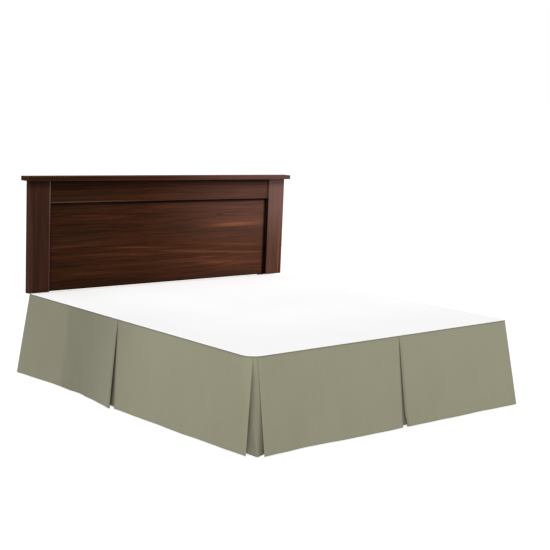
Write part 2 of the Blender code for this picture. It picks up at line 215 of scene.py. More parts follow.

# A soft change of the cloth's tone between two places along a drop, which is painted light and
# shade:
# how softly it starts and ends, and what it adds at the seam and at the hem.
Shade = namedtuple("Shade", "start soft_start end soft_end seam hem")
SIDE_SHADES = (
    Shade(start=-1.00, soft_start=0.10, end=1.00, soft_end=0.20, seam=-0.155, hem=-0.145),
    Shade(start=0.450, soft_start=0.035, end=0.77, soft_end=0.14, seam=-0.11, hem=-0.165),
    Shade(start=1.150, soft_start=0.15, end=3.00, soft_end=0.10, seam=0.08, hem=-0.02),
    Shade(start=1.990, soft_start=0.02, end=3.00, soft_end=0.10, seam=-0.07, hem=-0.01),
)
FOOT_SHADES = (
    Shade(start=-1.00, soft_start=0.10, end=3.00, soft_end=0.10, seam=0.02, hem=-0.05),
)

# A pleat's gap, darkened by painted shade: the shares of the fall where the shade starts and is
# whole, how far it reaches onto the panel before it and the panel after it, and how strong it is
# there.
GAP_START = 0.00
GAP_WHOLE = 0.18
GAP_REACHES = (0.008, 0.018)
GAP_RIMS = (0.30, 0.42)
GAP_DEPTH = 0.82

# A corner insert's painted shade: all over, at the side drop, and at the foot drop's hem. Then, as
# terms that go with the fall, its square and so on: where the edges of the side drop and of the
# foot drop lie from the insert's corner, and how far the side drop's shade reaches.
INSERT_SHADE = 0.38
INSERT_SIDE_SHADE = 0.49
INSERT_FOOT_SHADE = 0.95
INSERT_SIDE_EDGE = (0.006, -0.034, -0.044)
INSERT_FOOT_EDGE = (0.028, 0.020)
INSERT_SIDE_REACH = (0.012, 0.012, 0.045)


# ---------------------------------------------------------------- meshes from arrays
def make_object(name, vertices, faces, material, body="root"):
    """A smooth mesh object at the origin, from an array of points and an array or list of faces."""
    mesh = bpy.data.meshes.new(name)
    faces = faces.tolist() if isinstance(faces, np.ndarray) else faces
    mesh.from_pydata(vertices.reshape(-1, 3).tolist(), [], faces)
    mesh.update()
    mesh.shade_smooth()
    mesh.materials.append(material)
    piece = bpy.data.objects.new(name, mesh)
    bpy.context.scene.collection.objects.link(piece)
    if body:
        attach(piece, body)
    return piece


def grid_faces(rows, columns, loop_rows=False, loop_columns=False):
    """A point grid's four-sided faces; a loop joins its last row or column to its first."""
    index = np.arange(rows * columns).reshape(rows, columns)
    if loop_rows:
        index = np.vstack([index, index[:1]])
    if loop_columns:
        index = np.hstack([index, index[:, :1]])
    corners = (index[:-1, :-1], index[1:, :-1], index[1:, 1:], index[:-1, 1:])
    return np.stack(corners, -1).reshape(-1, 4)


def add_attribute(piece, name, values):
    """One number for each point of a piece, for its material to read."""
    made = piece.data.attributes.new(name, "FLOAT", "POINT")
    made.data.foreach_set("value", np.asarray(values, np.float32).ravel())


def add_cloth_map(piece, across, down):
    """A UV map in metres of cloth: across its width and down from its top edge."""
    corner_points = np.empty(len(piece.data.loops), np.int32)
    piece.data.loops.foreach_get("vertex_index", corner_points)
    places = np.stack([across.ravel(), down.ravel()], -1)[corner_points]
    layer = piece.data.uv_layers.new(name="cloth")
    layer.uv.foreach_set("vector", places.astype(np.float32).ravel())


def soft_step(low, high, value):
    """0 below low, 1 above high, and a smooth rise between."""
    t = np.clip((value - low) / (high - low), 0, 1)
    return t * t * (3 - 2 * t)


def fade(whole, gone, value):
    """1 up to where it is whole, 0 from where it is gone, and a smooth fall between."""
    return 1 - soft_step(whole, gone, value)


def bump(value, middle, half_width):
    """A soft hump: 1 at the middle, 0 from the half width outwards."""
    reach = np.clip(np.abs(value - middle) / half_width, 0, 1)
    return 0.5 + 0.5 * np.cos(np.pi * reach)


def power_sum(terms, value):
    """The first term, plus the second times the value, the third times its square, and so on."""
    return sum(term * value**power for power, term in enumerate(terms))


def unit(ways):
    """Each way brought to a length of 1."""
    return ways / np.linalg.norm(ways, axis=1, keepdims=True)


def lengths_along(line):
    """The distance along a line of points from its first point to each of them."""
    steps = np.linalg.norm(np.diff(line, axis=0), axis=1)
    return np.concatenate([[0], np.cumsum(steps)])


def values_along(at, lengths, line):
    """The line's values at these distances along it, read straight between its points."""
    return np.stack([np.interp(at, lengths, line[:, i]) for i in range(line.shape[1])], -1)


# ---------------------------------------------------------------- the drops' surfaces
def smooth_value(places, values, at):
    """A smooth curve through (place, value) points: cubics with slopes from the neighbours."""
    places, values = np.asarray(places, float), np.asarray(values, float)
    before = np.clip(np.arange(len(places)) - 1, 0, None)
    after = np.clip(np.arange(len(places)) + 1, None, len(places) - 1)
    slopes = (values[after] - values[before]) / (places[after] - places[before])
    i = np.clip(np.searchsorted(places, at, side="left") - 1, 0, len(places) - 2)
    width = places[i + 1] - places[i]
    t = (at - places[i]) / width
    return ((2 * t**3 - 3 * t**2 + 1) * values[i] + (t**3 - 2 * t**2 + t) * width * slopes[i]
            + (3 * t**2 - 2 * t**3) * values[i + 1] + (t**3 - t**2) * width * slopes[i + 1])


def pair(along, out):
    """Points of one level plane as (along, out), from two arrays of like shape."""
    return np.stack(np.broadcast_arrays(along, out), -1)


def seam_line(side, distance, set_back=0.0):
    """Points of the deck's edge as (along, out): straight, then on arcs round the foot corners."""
    start, end = side.start_radius, side.length - side.end_radius
    straight = np.clip(distance, start, end)
    radius = np.where(distance < start, side.start_radius, side.end_radius)
    turn = (distance - straight) / radius
    arm = radius - set_back
    return pair(straight + arm * np.sin(turn), arm * np.cos(turn) - radius)


def panel_surface(side, panel, folds, seam, fall):
    """A drop's outer layer: straight lines from the seam's points to the hem's, plus soft folds.

    seam is the distance along the seam, and fall runs from 0 at the seam to 1 at the hem.
    """
    seam, fall = np.broadcast_arrays(seam, fall)
    top = seam_line(side, seam, SHEET / 2)
    places = [s.seam for s in panel]
    hem = pair(smooth_value(places, [s.hem for s in panel], seam),
               smooth_value(places, [s.flare for s in panel], seam))
    points = top + (hem - top) * fall[..., None]
    for fold in folds:
        crest = fold.seam + (fold.hem - fold.seam) * fall
        points[..., 1] += fold.rise * fall * bump(points[..., 0], crest, fold.half_width)
    return points


def half_turn(start, end, bulge):
    """A half circle from one line of points to another, swelling along the side."""
    angles = np.linspace(0, np.pi, TURN_STEPS + 1)[None, :, None]
    middle, arm = (start + end) / 2, (start - end) / 2
    reach = np.linalg.norm(arm, axis=-1, keepdims=True)
    swell = reach * np.array([bulge, 0.0])
    return middle + arm * np.cos(angles) + swell * np.sin(angles)


def straight_run(start, end, steps):
    """The columns strictly between two lines of points."""
    share = (np.arange(1, steps) / steps)[None, :, None]
    return start + (end - start) * share


def places_along(side, first, last):
    """Seam distances of a panel's columns: wide steps on the straight, close ones at corners."""
    knots = [first, min(max(first, side.start_radius), last),
             max(min(last, side.length - side.end_radius), first), last]
    steps = (ROUND_STEP, COLUMN_STEP, ROUND_STEP)
    runs = []
    for start, end, step in zip(knots, knots[1:], steps):
        if end > start:
            runs.append(np.linspace(start, end, math.ceil((end - start) / step) + 1)[:-1])
    return np.append(np.concatenate(runs), last)


def falls():
    """The rows of a drop from seam to hem: close at the seam's roll and at the hem's fold."""
    drop = SEAM_TOP - HEM_HEIGHT
    roll, hem = SEAM_ROLL_DEPTH / drop, 1 - HEM_DEPTH / drop
    edge = HEM_STEP / drop
    return np.concatenate([
        np.linspace(0, roll, ROLL_ROWS)[:-1],
        np.linspace(roll, hem - edge, FALL_ROWS),
        np.linspace(hem + edge, 1, HEM_ROWS),
    ])


def drop_surface(side, drop, waves):
    """A drop from end to end: its (along, out) points, their heights, hidden columns and gap shade.

    The first panel's edge turns under in a half circle, runs back, turns again, crosses behind both
    panels as the underlay and comes back to the second panel's edge in the same way.
    """
    fall = falls()[:, None]
    layers = (LAYERS_AT_SEAM + (LAYERS_AT_HEM - LAYERS_AT_SEAM) * fall)[..., None]
    behind = layers * np.array([0.0, -1.0])
    inset = layers * np.array([0.5, 0.0])
    before, after = drop.first[-1].seam, drop.second[0].seam

    def first(seam):
        """The first panel's points at these seam distances."""
        return panel_surface(side, drop.first, drop.folds, np.atleast_1d(seam)[None, :], fall)

    def second(seam):
        """The second panel's, whose hem corner at the pleat is drawn aside by the flick."""
        seam = np.atleast_1d(seam)[None, :]
        near = np.clip(1 - (seam - after) / FLICK_REACH, 0, 1)
        drawn = drop.flick * near * np.clip((fall - FLICK_START) / (1 - FLICK_START), 0, 1)
        return panel_surface(side, drop.second, drop.folds, seam, fall) + pair(drawn, 0)

    seams_1 = places_along(side, drop.first[0].seam, before)
    seams_2 = places_along(side, after, drop.second[-1].seam)
    tuck_1 = soft_step(before - TUCK_REACH, before, seams_1)[None, :, None]
    tuck_2 = fade(after, after + TUCK_REACH, seams_2)[None, :, None]
    outer_1 = first(seams_1) - inset * tuck_1
    outer_2 = second(seams_2) + inset * tuck_2
    edge_1, edge_2 = outer_1[:, -1:], outer_2[:, :1]
    inner_1 = first(before - PLEAT_DEPTH) + inset
    inner_2 = second(after + PLEAT_DEPTH) - inset
    underlay_1, underlay_2 = inner_1 + behind * 2, inner_2 + behind * 2
    rim_1 = GAP_RIMS[0] * fade(0, GAP_REACHES[0], before - seams_1)
    rim_2 = GAP_RIMS[1] * fade(0, GAP_REACHES[1], seams_2 - after)
    deepening = np.linspace(rim_1[-1], GAP_DEPTH, TURN_STEPS + 1)
    rising = np.linspace(GAP_DEPTH, rim_2[0], TURN_STEPS + 1)
    # each run's points, whether it is hidden, whether its hem is lifted, and its gap shade
    runs = [
        (outer_1[:, :-1], 0, 0, rim_1[:-1]),
        (half_turn(edge_1, edge_1 + behind, 1), 1, 0, deepening),
        (straight_run(edge_1 + behind, inner_1 + behind, TURNED_BACK_STEPS), 1, 1, GAP_DEPTH),
        (half_turn(inner_1 + behind, underlay_1, -1), 1, 1, GAP_DEPTH),
        (straight_run(underlay_1, underlay_2, UNDERLAY_STEPS), 1, 1, GAP_DEPTH),
        (half_turn(underlay_2, inner_2 + behind, 1), 1, 1, GAP_DEPTH),
        (straight_run(inner_2 + behind, edge_2 + behind, TURNED_BACK_STEPS), 1, 1, GAP_DEPTH),
        (half_turn(edge_2 + behind, edge_2, -1), 1, 0, rising),
        (outer_2[:, 1:], 0, 0, rim_2[1:]),
    ]
    points = np.concatenate([run[0] for run in runs], axis=1)
    hidden, lifted, depth = (
        np.concatenate([np.broadcast_to(run[kind], run[0].shape[1]).astype(float) for run in runs])
        for kind in (1, 2, 3))
    for wave in waves:
        turn = (points[..., 0] + wave.drift * fall) * 2 * np.pi / wave.length + wave.phase
        points[..., 1] += wave.rise * fall * np.cos(turn)
    down = fall * (SEAM_TOP - HEM_HEIGHT)
    points[..., 1] += SEAM_ROLL * bump(down, SEAM_ROLL_DEPTH / 2, SEAM_ROLL_DEPTH / 2)
    heights = SEAM_TOP - down + drop.lift * lifted * fall
    return points, heights, hidden, depth * soft_step(GAP_START, GAP_WHOLE, fall)


def shade_tone(shades, along):
    """The tone of a drop's cloth over rows of fall: painted light and shade from the soft shades
    along it.
    """
    fall = falls()[:, None]
    tone = np.ones_like(along)
    for shade in shades:
        starts = soft_step(shade.start - shade.soft_start, shade.start + shade.soft_start, along)
        ends = soft_step(shade.end - shade.soft_end, shade.end + shade.soft_end, along)
        tone *= 1 + starts * (1 - ends) * (shade.seam + (shade.hem - shade.seam) * fall)
    return tone


def to_world(side, points, heights):
    """World points from (along, out) pairs on a side and their heights."""
    corner, along, out = (np.array(v, float) for v in (side.corner, side.along, side.out))
    plan = corner + points[..., :1] * along + points[..., 1:] * out
    return np.concatenate([plan, np.broadcast_to(heights, points.shape[:2])[..., None]], -1)


def cloth_lengths(points):
    """Distance across the cloth of each column, measured along its middle row."""
    return lengths_along(points[points.shape[0] // 2])


def add_cloth(name, points, gap_shade, tone, material):
    """A sewn sheet over a grid of points, thicker along its hem and its free upright edges."""
    rows, columns = points.shape[:2]
    sheet = make_object(name, points, grid_faces(rows, columns), material)
    across = np.broadcast_to(cloth_lengths(points)[None, :], (rows, columns))
    down = np.broadcast_to((SEAM_TOP - points[:, :1, 2]), (rows, columns))
    add_cloth_map(sheet, across, down)
    add_attribute(sheet, "seam_shade", fade(SEAM_SHADE_WHOLE, SEAM_SHADE_DEPTH, down))
    add_attribute(sheet, "gap_shade", gap_shade)
    add_attribute(sheet, "tone", tone)
    hem = down > SEAM_TOP - HEM_HEIGHT - HEM_DEPTH
    hem = hem | (across < SIDE_HEM_DEPTH) | (across > across[0, -1] - SIDE_HEM_DEPTH)
    group = sheet.vertex_groups.new(name="hem")
    group.add(np.flatnonzero(hem.ravel()).tolist(), 1.0, "REPLACE")
    solidify = sheet.modifiers.new("thickness", "SOLIDIFY")
    solidify.thickness = HEM_THICK
    solidify.thickness_vertex_group = CLOTH_THICK / HEM_THICK
    solidify.vertex_group = "hem"
    solidify.offset = 0.0
    solidify.use_even_offset = True
    return sheet


# A stitch's corners: a share of its length along it, and of its width across it and outwards. The
# first and the last but one are its tips, and its faces run from each tip to the ring between.
STITCH_CORNERS = ((-0.5, 0, 0), (0, 0.5, 0.1), (0, 0, 0.75), (0, -0.5, 0.1), (0.5, 0, 0),
                  (0, 0, -0.3))
STITCH_FACES = np.array([(0, 1, 2), (0, 2, 3), (0, 3, 5), (0, 5, 1),
                         (4, 2, 1), (4, 3, 2), (4, 5, 3), (4, 1, 5)])


def add_stitches(name, middle, along, out, material):
    """A row of short stitches: each a small pointed grain lying on the cloth.

    The arrays hold each stitch's middle, the way along its line and the way out of the cloth.
    """
    side = np.cross(out, along)
    corners = [middle + along * a * STITCH_LENGTH + side * b * STITCH_WIDTH + out * c * STITCH_WIDTH
               for a, b, c in STITCH_CORNERS]
    starts = np.arange(len(middle))[:, None, None] * len(STITCH_CORNERS)
    faces = (starts + STITCH_FACES[None]).reshape(-1, 3)
    return make_object(name, np.stack(corners, 1), faces, material)


def stitch_line(points, row):
    """Even places on one row of a cloth grid, and the ways along it and out of the cloth."""
    line = points[row]
    lengths = lengths_along(line)
    at = np.arange(STITCH_PITCH, lengths[-1] - STITCH_PITCH, STITCH_PITCH)
    middle = values_along(at, lengths, line)
    along = unit(values_along(at + STITCH_LENGTH / 2, lengths, line) - middle)
    down = values_along(at, lengths, points[row + 1] - points[row - 1])
    return middle, along, unit(np.cross(down, along))


def hang(name):
    """Hides a drop's or an insert's solid, in whose place its sheet hangs."""
    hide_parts(name)


def add_drop(name, side, drop, waves, shades, materials):
    """One drop with the stitches of its hem."""
    flat_points, heights, hidden, gap_shade = drop_surface(side, drop, waves)
    points = to_world(side, flat_points, heights)
    tone = shade_tone(shades, flat_points[..., 0])
    sheet = add_cloth(f"{name}_cloth", points, gap_shade, tone, materials["sage"])
    down = SEAM_TOP - points[:, 0, 2]
    row = int(np.argmin(np.abs(down - (SEAM_TOP - HEM_HEIGHT - STITCH_HEIGHT))))
    lines = []
    outer = np.flatnonzero(hidden == 0)
    gap = int(np.flatnonzero(np.diff(outer) > 1)[0]) + 1
    for run in (outer[:gap], outer[gap:]):
        middle, along, out = stitch_line(points[:, run], row)
        facing = np.sign(out[:, :2] @ np.array(side.out, float))[:, None]
        lines.append((middle + out * facing * HEM_THICK / 2, along, out * facing))
    middle, along, out = (np.concatenate(parts) for parts in zip(*lines))
    stitches = add_stitches(f"{name}_stitches", middle, along, out, materials["thread"])
    hang(name)


def insert_surface(side, foot_out):
    """A corner insert, seam to hem: a wing along the side, round the corner, a wing at the foot."""
    set_back = SHEET / 2 + INSERT_SET_BACK
    length, radius = side.length, side.end_radius
    start = length - radius - INSERT_WING
    tip = np.array([length + foot_out, -INSERT_TIP_IN])
    side_end = np.array([start, -INSERT_SIDE_IN])
    foot_end = np.array([length + foot_out - INSERT_FOOT_SLANT, -radius - INSERT_WING])
    before, after = (tip + (end - tip) / np.linalg.norm(end - tip) * INSERT_CORNER_ROUND
                     for end in (side_end, foot_end))
    wing = np.linspace(0, 1, WING_POINTS)
    turn = np.linspace(0, 1, CORNER_POINTS)
    part = turn[:, None]
    corner_hem = (1 - part) ** 2 * before + 2 * part * (1 - part) * tip + part**2 * after
    seam = np.concatenate([seam_line(side, start + INSERT_WING * wing[:-1], set_back),
                           seam_line(side, length - radius + radius * turn * math.pi / 2, set_back),
                           pair(length - set_back, -radius - INSERT_WING * wing[1:])])
    hem = np.concatenate([side_end + (before - side_end) * wing[:-1, None], corner_hem,
                          after + (foot_end - after) * wing[1:, None]])
    fall = falls()[:, None, None]
    return seam[None] + (hem - seam)[None] * fall


def insert_shade(flat_points):
    """A corner insert's painted shade: light on its corner's ridge, deeper towards the drops beside
    it.

    It grows from nothing at the seam. The side drop's part goes again before the hem, and the foot
    drop's comes only close to it.
    """
    fall = falls()[:, None]
    steps = np.linalg.norm(np.diff(flat_points, axis=1), axis=-1)
    place = np.concatenate([0 * fall, np.cumsum(steps, axis=1)], axis=1)
    place = place - place[:, [flat_points.shape[1] // 2]]
    from_side = (place - power_sum(INSERT_SIDE_EDGE, fall)) / power_sum(INSERT_SIDE_REACH, fall)
    near_side = fade(0.2, 1.0, from_side)
    near_foot = soft_step(0.0, 0.8, place / power_sum(INSERT_FOOT_EDGE, fall))
    side_shade = INSERT_SIDE_SHADE * soft_step(0, 0.15, fall) * fade(0.45, 0.80, fall)
    shade = INSERT_SHADE * (1 - 0.5 * near_foot) * soft_step(0, 0.30, fall)
    shade = shade + side_shade * near_side + INSERT_FOOT_SHADE * fall**8 * near_foot
    return np.clip(shade, 0, 1)


def add_insert(name, side, foot_out, materials):
    """One corner insert, of one tone, darkened by its painted shade."""
    flat_points = insert_surface(side, foot_out)
    heights = SEAM_TOP - falls()[:, None] * (SEAM_TOP - HEM_HEIGHT)
    points = to_world(side, flat_points, heights)
    sheet = add_cloth(f"{name}_cloth", points, insert_shade(flat_points), np.ones(points.shape[:2]),
                      materials["sage"])
    hang(name)


# ---------------------------------------------------------------- the deck cloth
DECK_WRINKLES = (
    Wave(length=0.610, drift=0.25, rise=0.0003, phase=0.8),
    Wave(length=0.270, drift=-0.15, rise=0.0002, phase=2.6),
)
# the deck's grid, and how closely its columns gather at its sides: 0 is evenly, and 1 the most
DECK_ROWS = 90
DECK_COLUMNS = 90
DECK_ARC_POINTS = 9
DECK_GATHER = 0.94
# how far the deck's edge dips, and from how far in
DECK_EDGE_DIP = 0.0004
DECK_EDGE_REACH = 0.006
# the deck's painted light: its tone at its foot, what it gains by its middle and by its head, and
# what it loses at its left side
DECK_FOOT_TONE = 0.955
DECK_MIDDLE_GAIN = 0.060
DECK_HEAD_GAIN = 0.070
DECK_LEFT_LOSS = 0.064


def corner_inset(radius, from_foot):
    """How far inside its side the deck's edge lies, this far from the foot, on the corner's arc."""
    short = radius - np.minimum(from_foot, radius)
    return radius - np.sqrt(radius**2 - short**2)


def add_deck(materials):
    """The white platform cloth: a flat grid whose rows shorten round the foot corners on an arc."""
    radii = [corner.radius for corner in CORNERS.values()]
    arcs = [radius * (1 - np.cos(np.linspace(0, np.pi / 2, DECK_ARC_POINTS))) for radius in radii]
    rest = np.linspace(max(radii), BED_LENGTH, DECK_ROWS)
    from_foot = np.unique(np.round(np.concatenate(arcs + [rest]), 6))[:, None]
    low = DECK_LOW[0] + corner_inset(CORNERS["left"].radius, from_foot)
    high = DECK_HIGH[0] - corner_inset(CORNERS["right"].radius, from_foot)
    wide = DECK_GATHER * math.pi / 2
    share = 0.5 + 0.5 * np.sin(np.linspace(-wide, wide, DECK_COLUMNS)) / math.sin(wide)
    x = low + (high - low) * share[None, :]
    y = DECK_LOW[1] + from_foot + 0 * x
    middle = DECK_TOP - SHEET / 2
    edge = np.minimum(np.minimum(x - low, high - x), np.minimum(from_foot, BED_LENGTH - from_foot))
    z = middle - DECK_EDGE_DIP * fade(0, DECK_EDGE_REACH, edge)
    tone = DECK_FOOT_TONE + DECK_MIDDLE_GAIN * soft_step(0.1, 0.9, from_foot)
    tone = tone + DECK_HEAD_GAIN * soft_step(0.9, 1.8, from_foot)
    near_left = fade(0, 0.7, x - low) * soft_step(0.1, 1.1, from_foot)
    tone = tone * (1 - DECK_LEFT_LOSS * near_left)
    for wave in DECK_WRINKLES:
        z = z + wave.rise * soft_step(0, 0.2, edge) * np.cos(
            (x + wave.drift * y) * 2 * np.pi / wave.length + wave.phase)
    points = np.stack([x, y, z], -1)
    rows, columns = points.shape[:2]
    sheet = make_object("deck_sheet", points, grid_faces(rows, columns), materials["deck"])
    add_cloth_map(sheet, x, y)
    add_attribute(sheet, "tone", tone + 0 * x)
    solidify = sheet.modifiers.new("thickness", "SOLIDIFY")
    solidify.thickness = CLOTH_THICK
    solidify.offset = 0.0
    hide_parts("deck")


# ---------------------------------------------------------------- boards and bars
# points on a round edge's arc; a point is on such an edge when its way out is this much along two
# axes or more
ARC_POINTS = 5
EDGE_SHARE = 0.3


def round_block(low, high, radius, steps):
    """A block with round edges: each side is a grid, and every point is drawn to its edge's arc.

    A point of the plain block is clamped to the block less its radius, and then goes from there
    a full radius towards where it was. Returns points, faces and how far each point is on an edge.
    """
    low, high = np.array(low, float), np.array(high, float)
    radius = np.broadcast_to(np.array(radius, float), 3)
    steps = np.broadcast_to(np.array(steps, float), 3)
    lines = []
    for i in range(3):
        arc = radius[i] * (1 - np.cos(np.linspace(0, np.pi / 2, ARC_POINTS)))
        count = max(1, math.ceil((high[i] - low[i] - 2 * radius[i]) / steps[i]))
        flat = np.linspace(low[i] + radius[i], high[i] - radius[i], count + 1)
        lines.append(np.concatenate([low[i] + arc[:-1], flat, (high[i] - arc[:-1])[::-1]]))
    points, faces, start = [], [], 0
    for axis in range(3):
        u, v = (axis + 1) % 3, (axis + 2) % 3
        for end in (0, 1):
            grid = np.empty((len(lines[u]), len(lines[v]), 3))
            grid[..., u] = lines[u][:, None]
            grid[..., v] = lines[v][None, :]
            grid[..., axis] = (low, high)[end][axis]
            quads = grid_faces(*grid.shape[:2]) + start
            points.append(grid.reshape(-1, 3))
            faces.append(quads if end == 0 else quads[:, ::-1])
            start += grid.shape[0] * grid.shape[1]
    points, faces = np.concatenate(points), np.concatenate(faces)
    _, first, inverse = np.unique(np.round(points, 7), axis=0, return_index=True,
                                  return_inverse=True)
    points, faces = points[first], inverse.ravel()[faces]
    core = np.clip(points, low + radius, high - radius)
    way = (points - core) / radius
    size = np.linalg.norm(way, axis=1, keepdims=True)
    rounded = core + way / np.where(size > 0, size, 1) * radius
    edge = np.clip((np.abs(way) > EDGE_SHARE).sum(1) - 1, 0, 1)
    return rounded, faces, edge


def add_block(name, node, radius, steps, material):
    """A round-edged block in the place of a solid of the same outline, which it replaces."""
    low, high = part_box(node)
    points, faces, edge = round_block(low, high, radius, steps)
    piece = make_object(name, points, faces, material)
    add_attribute(piece, "edge", edge)
    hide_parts(node)
    return piece, points


# the sides of a turned piece, and the turn between two faces from which their edge looks sharp
TURNED_SIDES = 32
SHARP_ANGLE = math.radians(50)


def add_turned(name, node, centre, profile, material, slot):
    """A profile of (radius, height), from the axis to the axis, carried round an upright axis."""
    profile, sides = np.array(profile, float), TURNED_SIDES
    turn = np.linspace(0, 2 * np.pi, sides, endpoint=False)
    ring = np.stack([np.cos(turn), np.sin(turn)], -1)
    points = np.empty((len(profile), sides, 3))
    points[..., :2] = np.array(centre) + profile[:, None, :1] * ring[None]
    points[..., 2] = profile[:, 1:]
    inner = points[1:-1]
    vertices = np.concatenate([[[*centre, profile[0, 1]]], inner.reshape(-1, 3),
                               [[*centre, profile[-1, 1]]]])
    around = np.arange(sides)
    after = (around + 1) % sides
    walls = grid_faces(len(profile) - 2, sides, loop_columns=True)[:, ::-1] + 1
    top = 1 + (len(profile) - 3) * sides
    caps = np.concatenate([
        np.stack([np.zeros(sides, int), after + 1, around + 1], -1),
        np.stack([np.full(sides, len(vertices) - 1), around + top, after + top], -1),
    ])
    piece = make_object(name, vertices, walls.tolist() + caps.tolist(), material)
    piece.data.set_sharp_from_angle(angle=SHARP_ANGLE)
    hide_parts(node)


# ---------------------------------------------------------------- the base
BASE_CORNER = 0.0575
BASE_EDGE = 0.012
BASE_CORNER_POINTS = 10
BASE_STEPS = (0.08, 0.08, 0.03)
# the welts, and how far their middle lies inside the base's outline
WELT_RADIUS = 0.0035
WELT_SIDES = 12
WELT_SINK = 0.7 * WELT_RADIUS


def round_loop(low, high, radius):
    """The outline of a rectangle with round corners, as a closed line of (x, y) points."""
    quarter = np.linspace(0, np.pi / 2, BASE_CORNER_POINTS)
    corners = ((high[0], high[1]), (low[0], high[1]), (low[0], low[1]), (high[0], low[1]))
    parts = []
    for number, (x, y) in enumerate(corners):
        turn = quarter + number * np.pi / 2
        centre = np.array([x - radius * np.sign(x - (low[0] + high[0]) / 2),
                           y - radius * np.sign(y - (low[1] + high[1]) / 2)])
        parts.append(centre + radius * np.stack([np.cos(turn), np.sin(turn)], -1))
    return np.concatenate(parts)


def add_welt(name, low, high, height, material):
    """A piping cord round the base: a circle carried along the round-cornered outline."""
    path = round_loop(low + WELT_SINK, high - WELT_SINK, BASE_CORNER - WELT_SINK)
    ahead = unit(np.roll(path, -1, axis=0) - np.roll(path, 1, axis=0))
    out = np.stack([ahead[:, 1], -ahead[:, 0]], -1)
    turn = np.linspace(0, 2 * np.pi, WELT_SIDES, endpoint=False)
    points = np.empty((len(path), WELT_SIDES, 3))
    points[..., :2] = path[:, None] + out[:, None] * (np.cos(turn) * WELT_RADIUS)[None, :, None]
    points[..., 2] = height + np.sin(turn)[None] * WELT_RADIUS
    faces = grid_faces(len(path), WELT_SIDES, loop_rows=True, loop_columns=True)
    make_object(name, points, faces, material)


def add_base(materials):
    """The padded base with a welt round its top and its bottom edge."""
    add_block("padded_base", "box_base", (BASE_CORNER, BASE_CORNER, BASE_EDGE), BASE_STEPS,
              materials["ticking"])
    low, high = (np.array(corner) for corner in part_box("box_base"))
    for name, height in (("top", high[2] - BASE_EDGE), ("bottom", low[2] + BASE_EDGE)):
        add_welt(f"base_welt_{name}", low[:2], high[:2], height, materials["ticking"])


# ---------------------------------------------------------------- the steel frame
TUBE_PLACES = ("left", "right", "foot", "head", "centre")
LEG_PLACES = ("front_left", "front_right", "back_left", "back_right", "centre_front",
              "centre_back")
TUBE_EDGE = 0.004
TUBE_STEP = 0.25

# Profiles as steps out from the leg's or the glide's radius and up from the height they start at:
# the leg's foot from its bottom, the weld from its top, the glide's ribs from the floor and its
# shoulder from its top.
LEG_FOOT = ((-0.001, 0), (0, 0.001))
LEG_WELD = ((0, -0.012), (0.001, -0.010), (0.003, -0.006), (0.004, -0.001), (0.004, 0))
GLIDE_RIBS = ((-0.003, 0), (-0.0008, 0.0008), (0, 0.003), (0, 0.005), (-0.0012, 0.0055),
              (-0.0012, 0.0065), (0, 0.007))
GLIDE_SHOULDER = ((0, -0.003), (-0.002, -0.0006), (-0.004, 0))


def turned_profile(node, lower, upper):
    """A solid's centre, and a profile that follows its outline from its bottom to its top."""
    low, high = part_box(node)
    centre = ((low[0] + high[0]) / 2, (low[1] + high[1]) / 2)
    radius, bottom, top = (high[0] - low[0]) / 2, low[2], high[2]
    profile = [(0, bottom)]
    profile += [(radius + out, bottom + up) for out, up in lower]
    profile += [(radius + out, top + up) for out, up in upper]
    return centre, profile + [(0, top)]


def add_frame(materials):
    """The steel tubes with round edges, the legs with a weld ring, and the ribbed floor glides."""
    steel, rubber = materials["steel"], materials["rubber"]
    for place in TUBE_PLACES:
        add_block(f"tube_{place}", f"rail_{place}", TUBE_EDGE, TUBE_STEP, steel)
    for place in LEG_PLACES:
        leg, foot = f"leg_{place}", f"foot_{place}"
        add_turned(f"leg_tube_{place}", leg, *turned_profile(leg, LEG_FOOT, LEG_WELD),
                   steel, "dark_steel")
        add_turned(f"glide_{place}", foot, *turned_profile(foot, GLIDE_RIBS, GLIDE_SHOULDER),
                   rubber, "glide_rubber")


# ---------------------------------------------------------------- the headboard
# A long soft streak of the grain: its middle, its rise for each metre along, how far it reaches
# along and across the board, what it adds to the tone, and to the warmth (below 0 is olive).
Streak = namedtuple("Streak", "along across slope half_length half_width tone warmth")

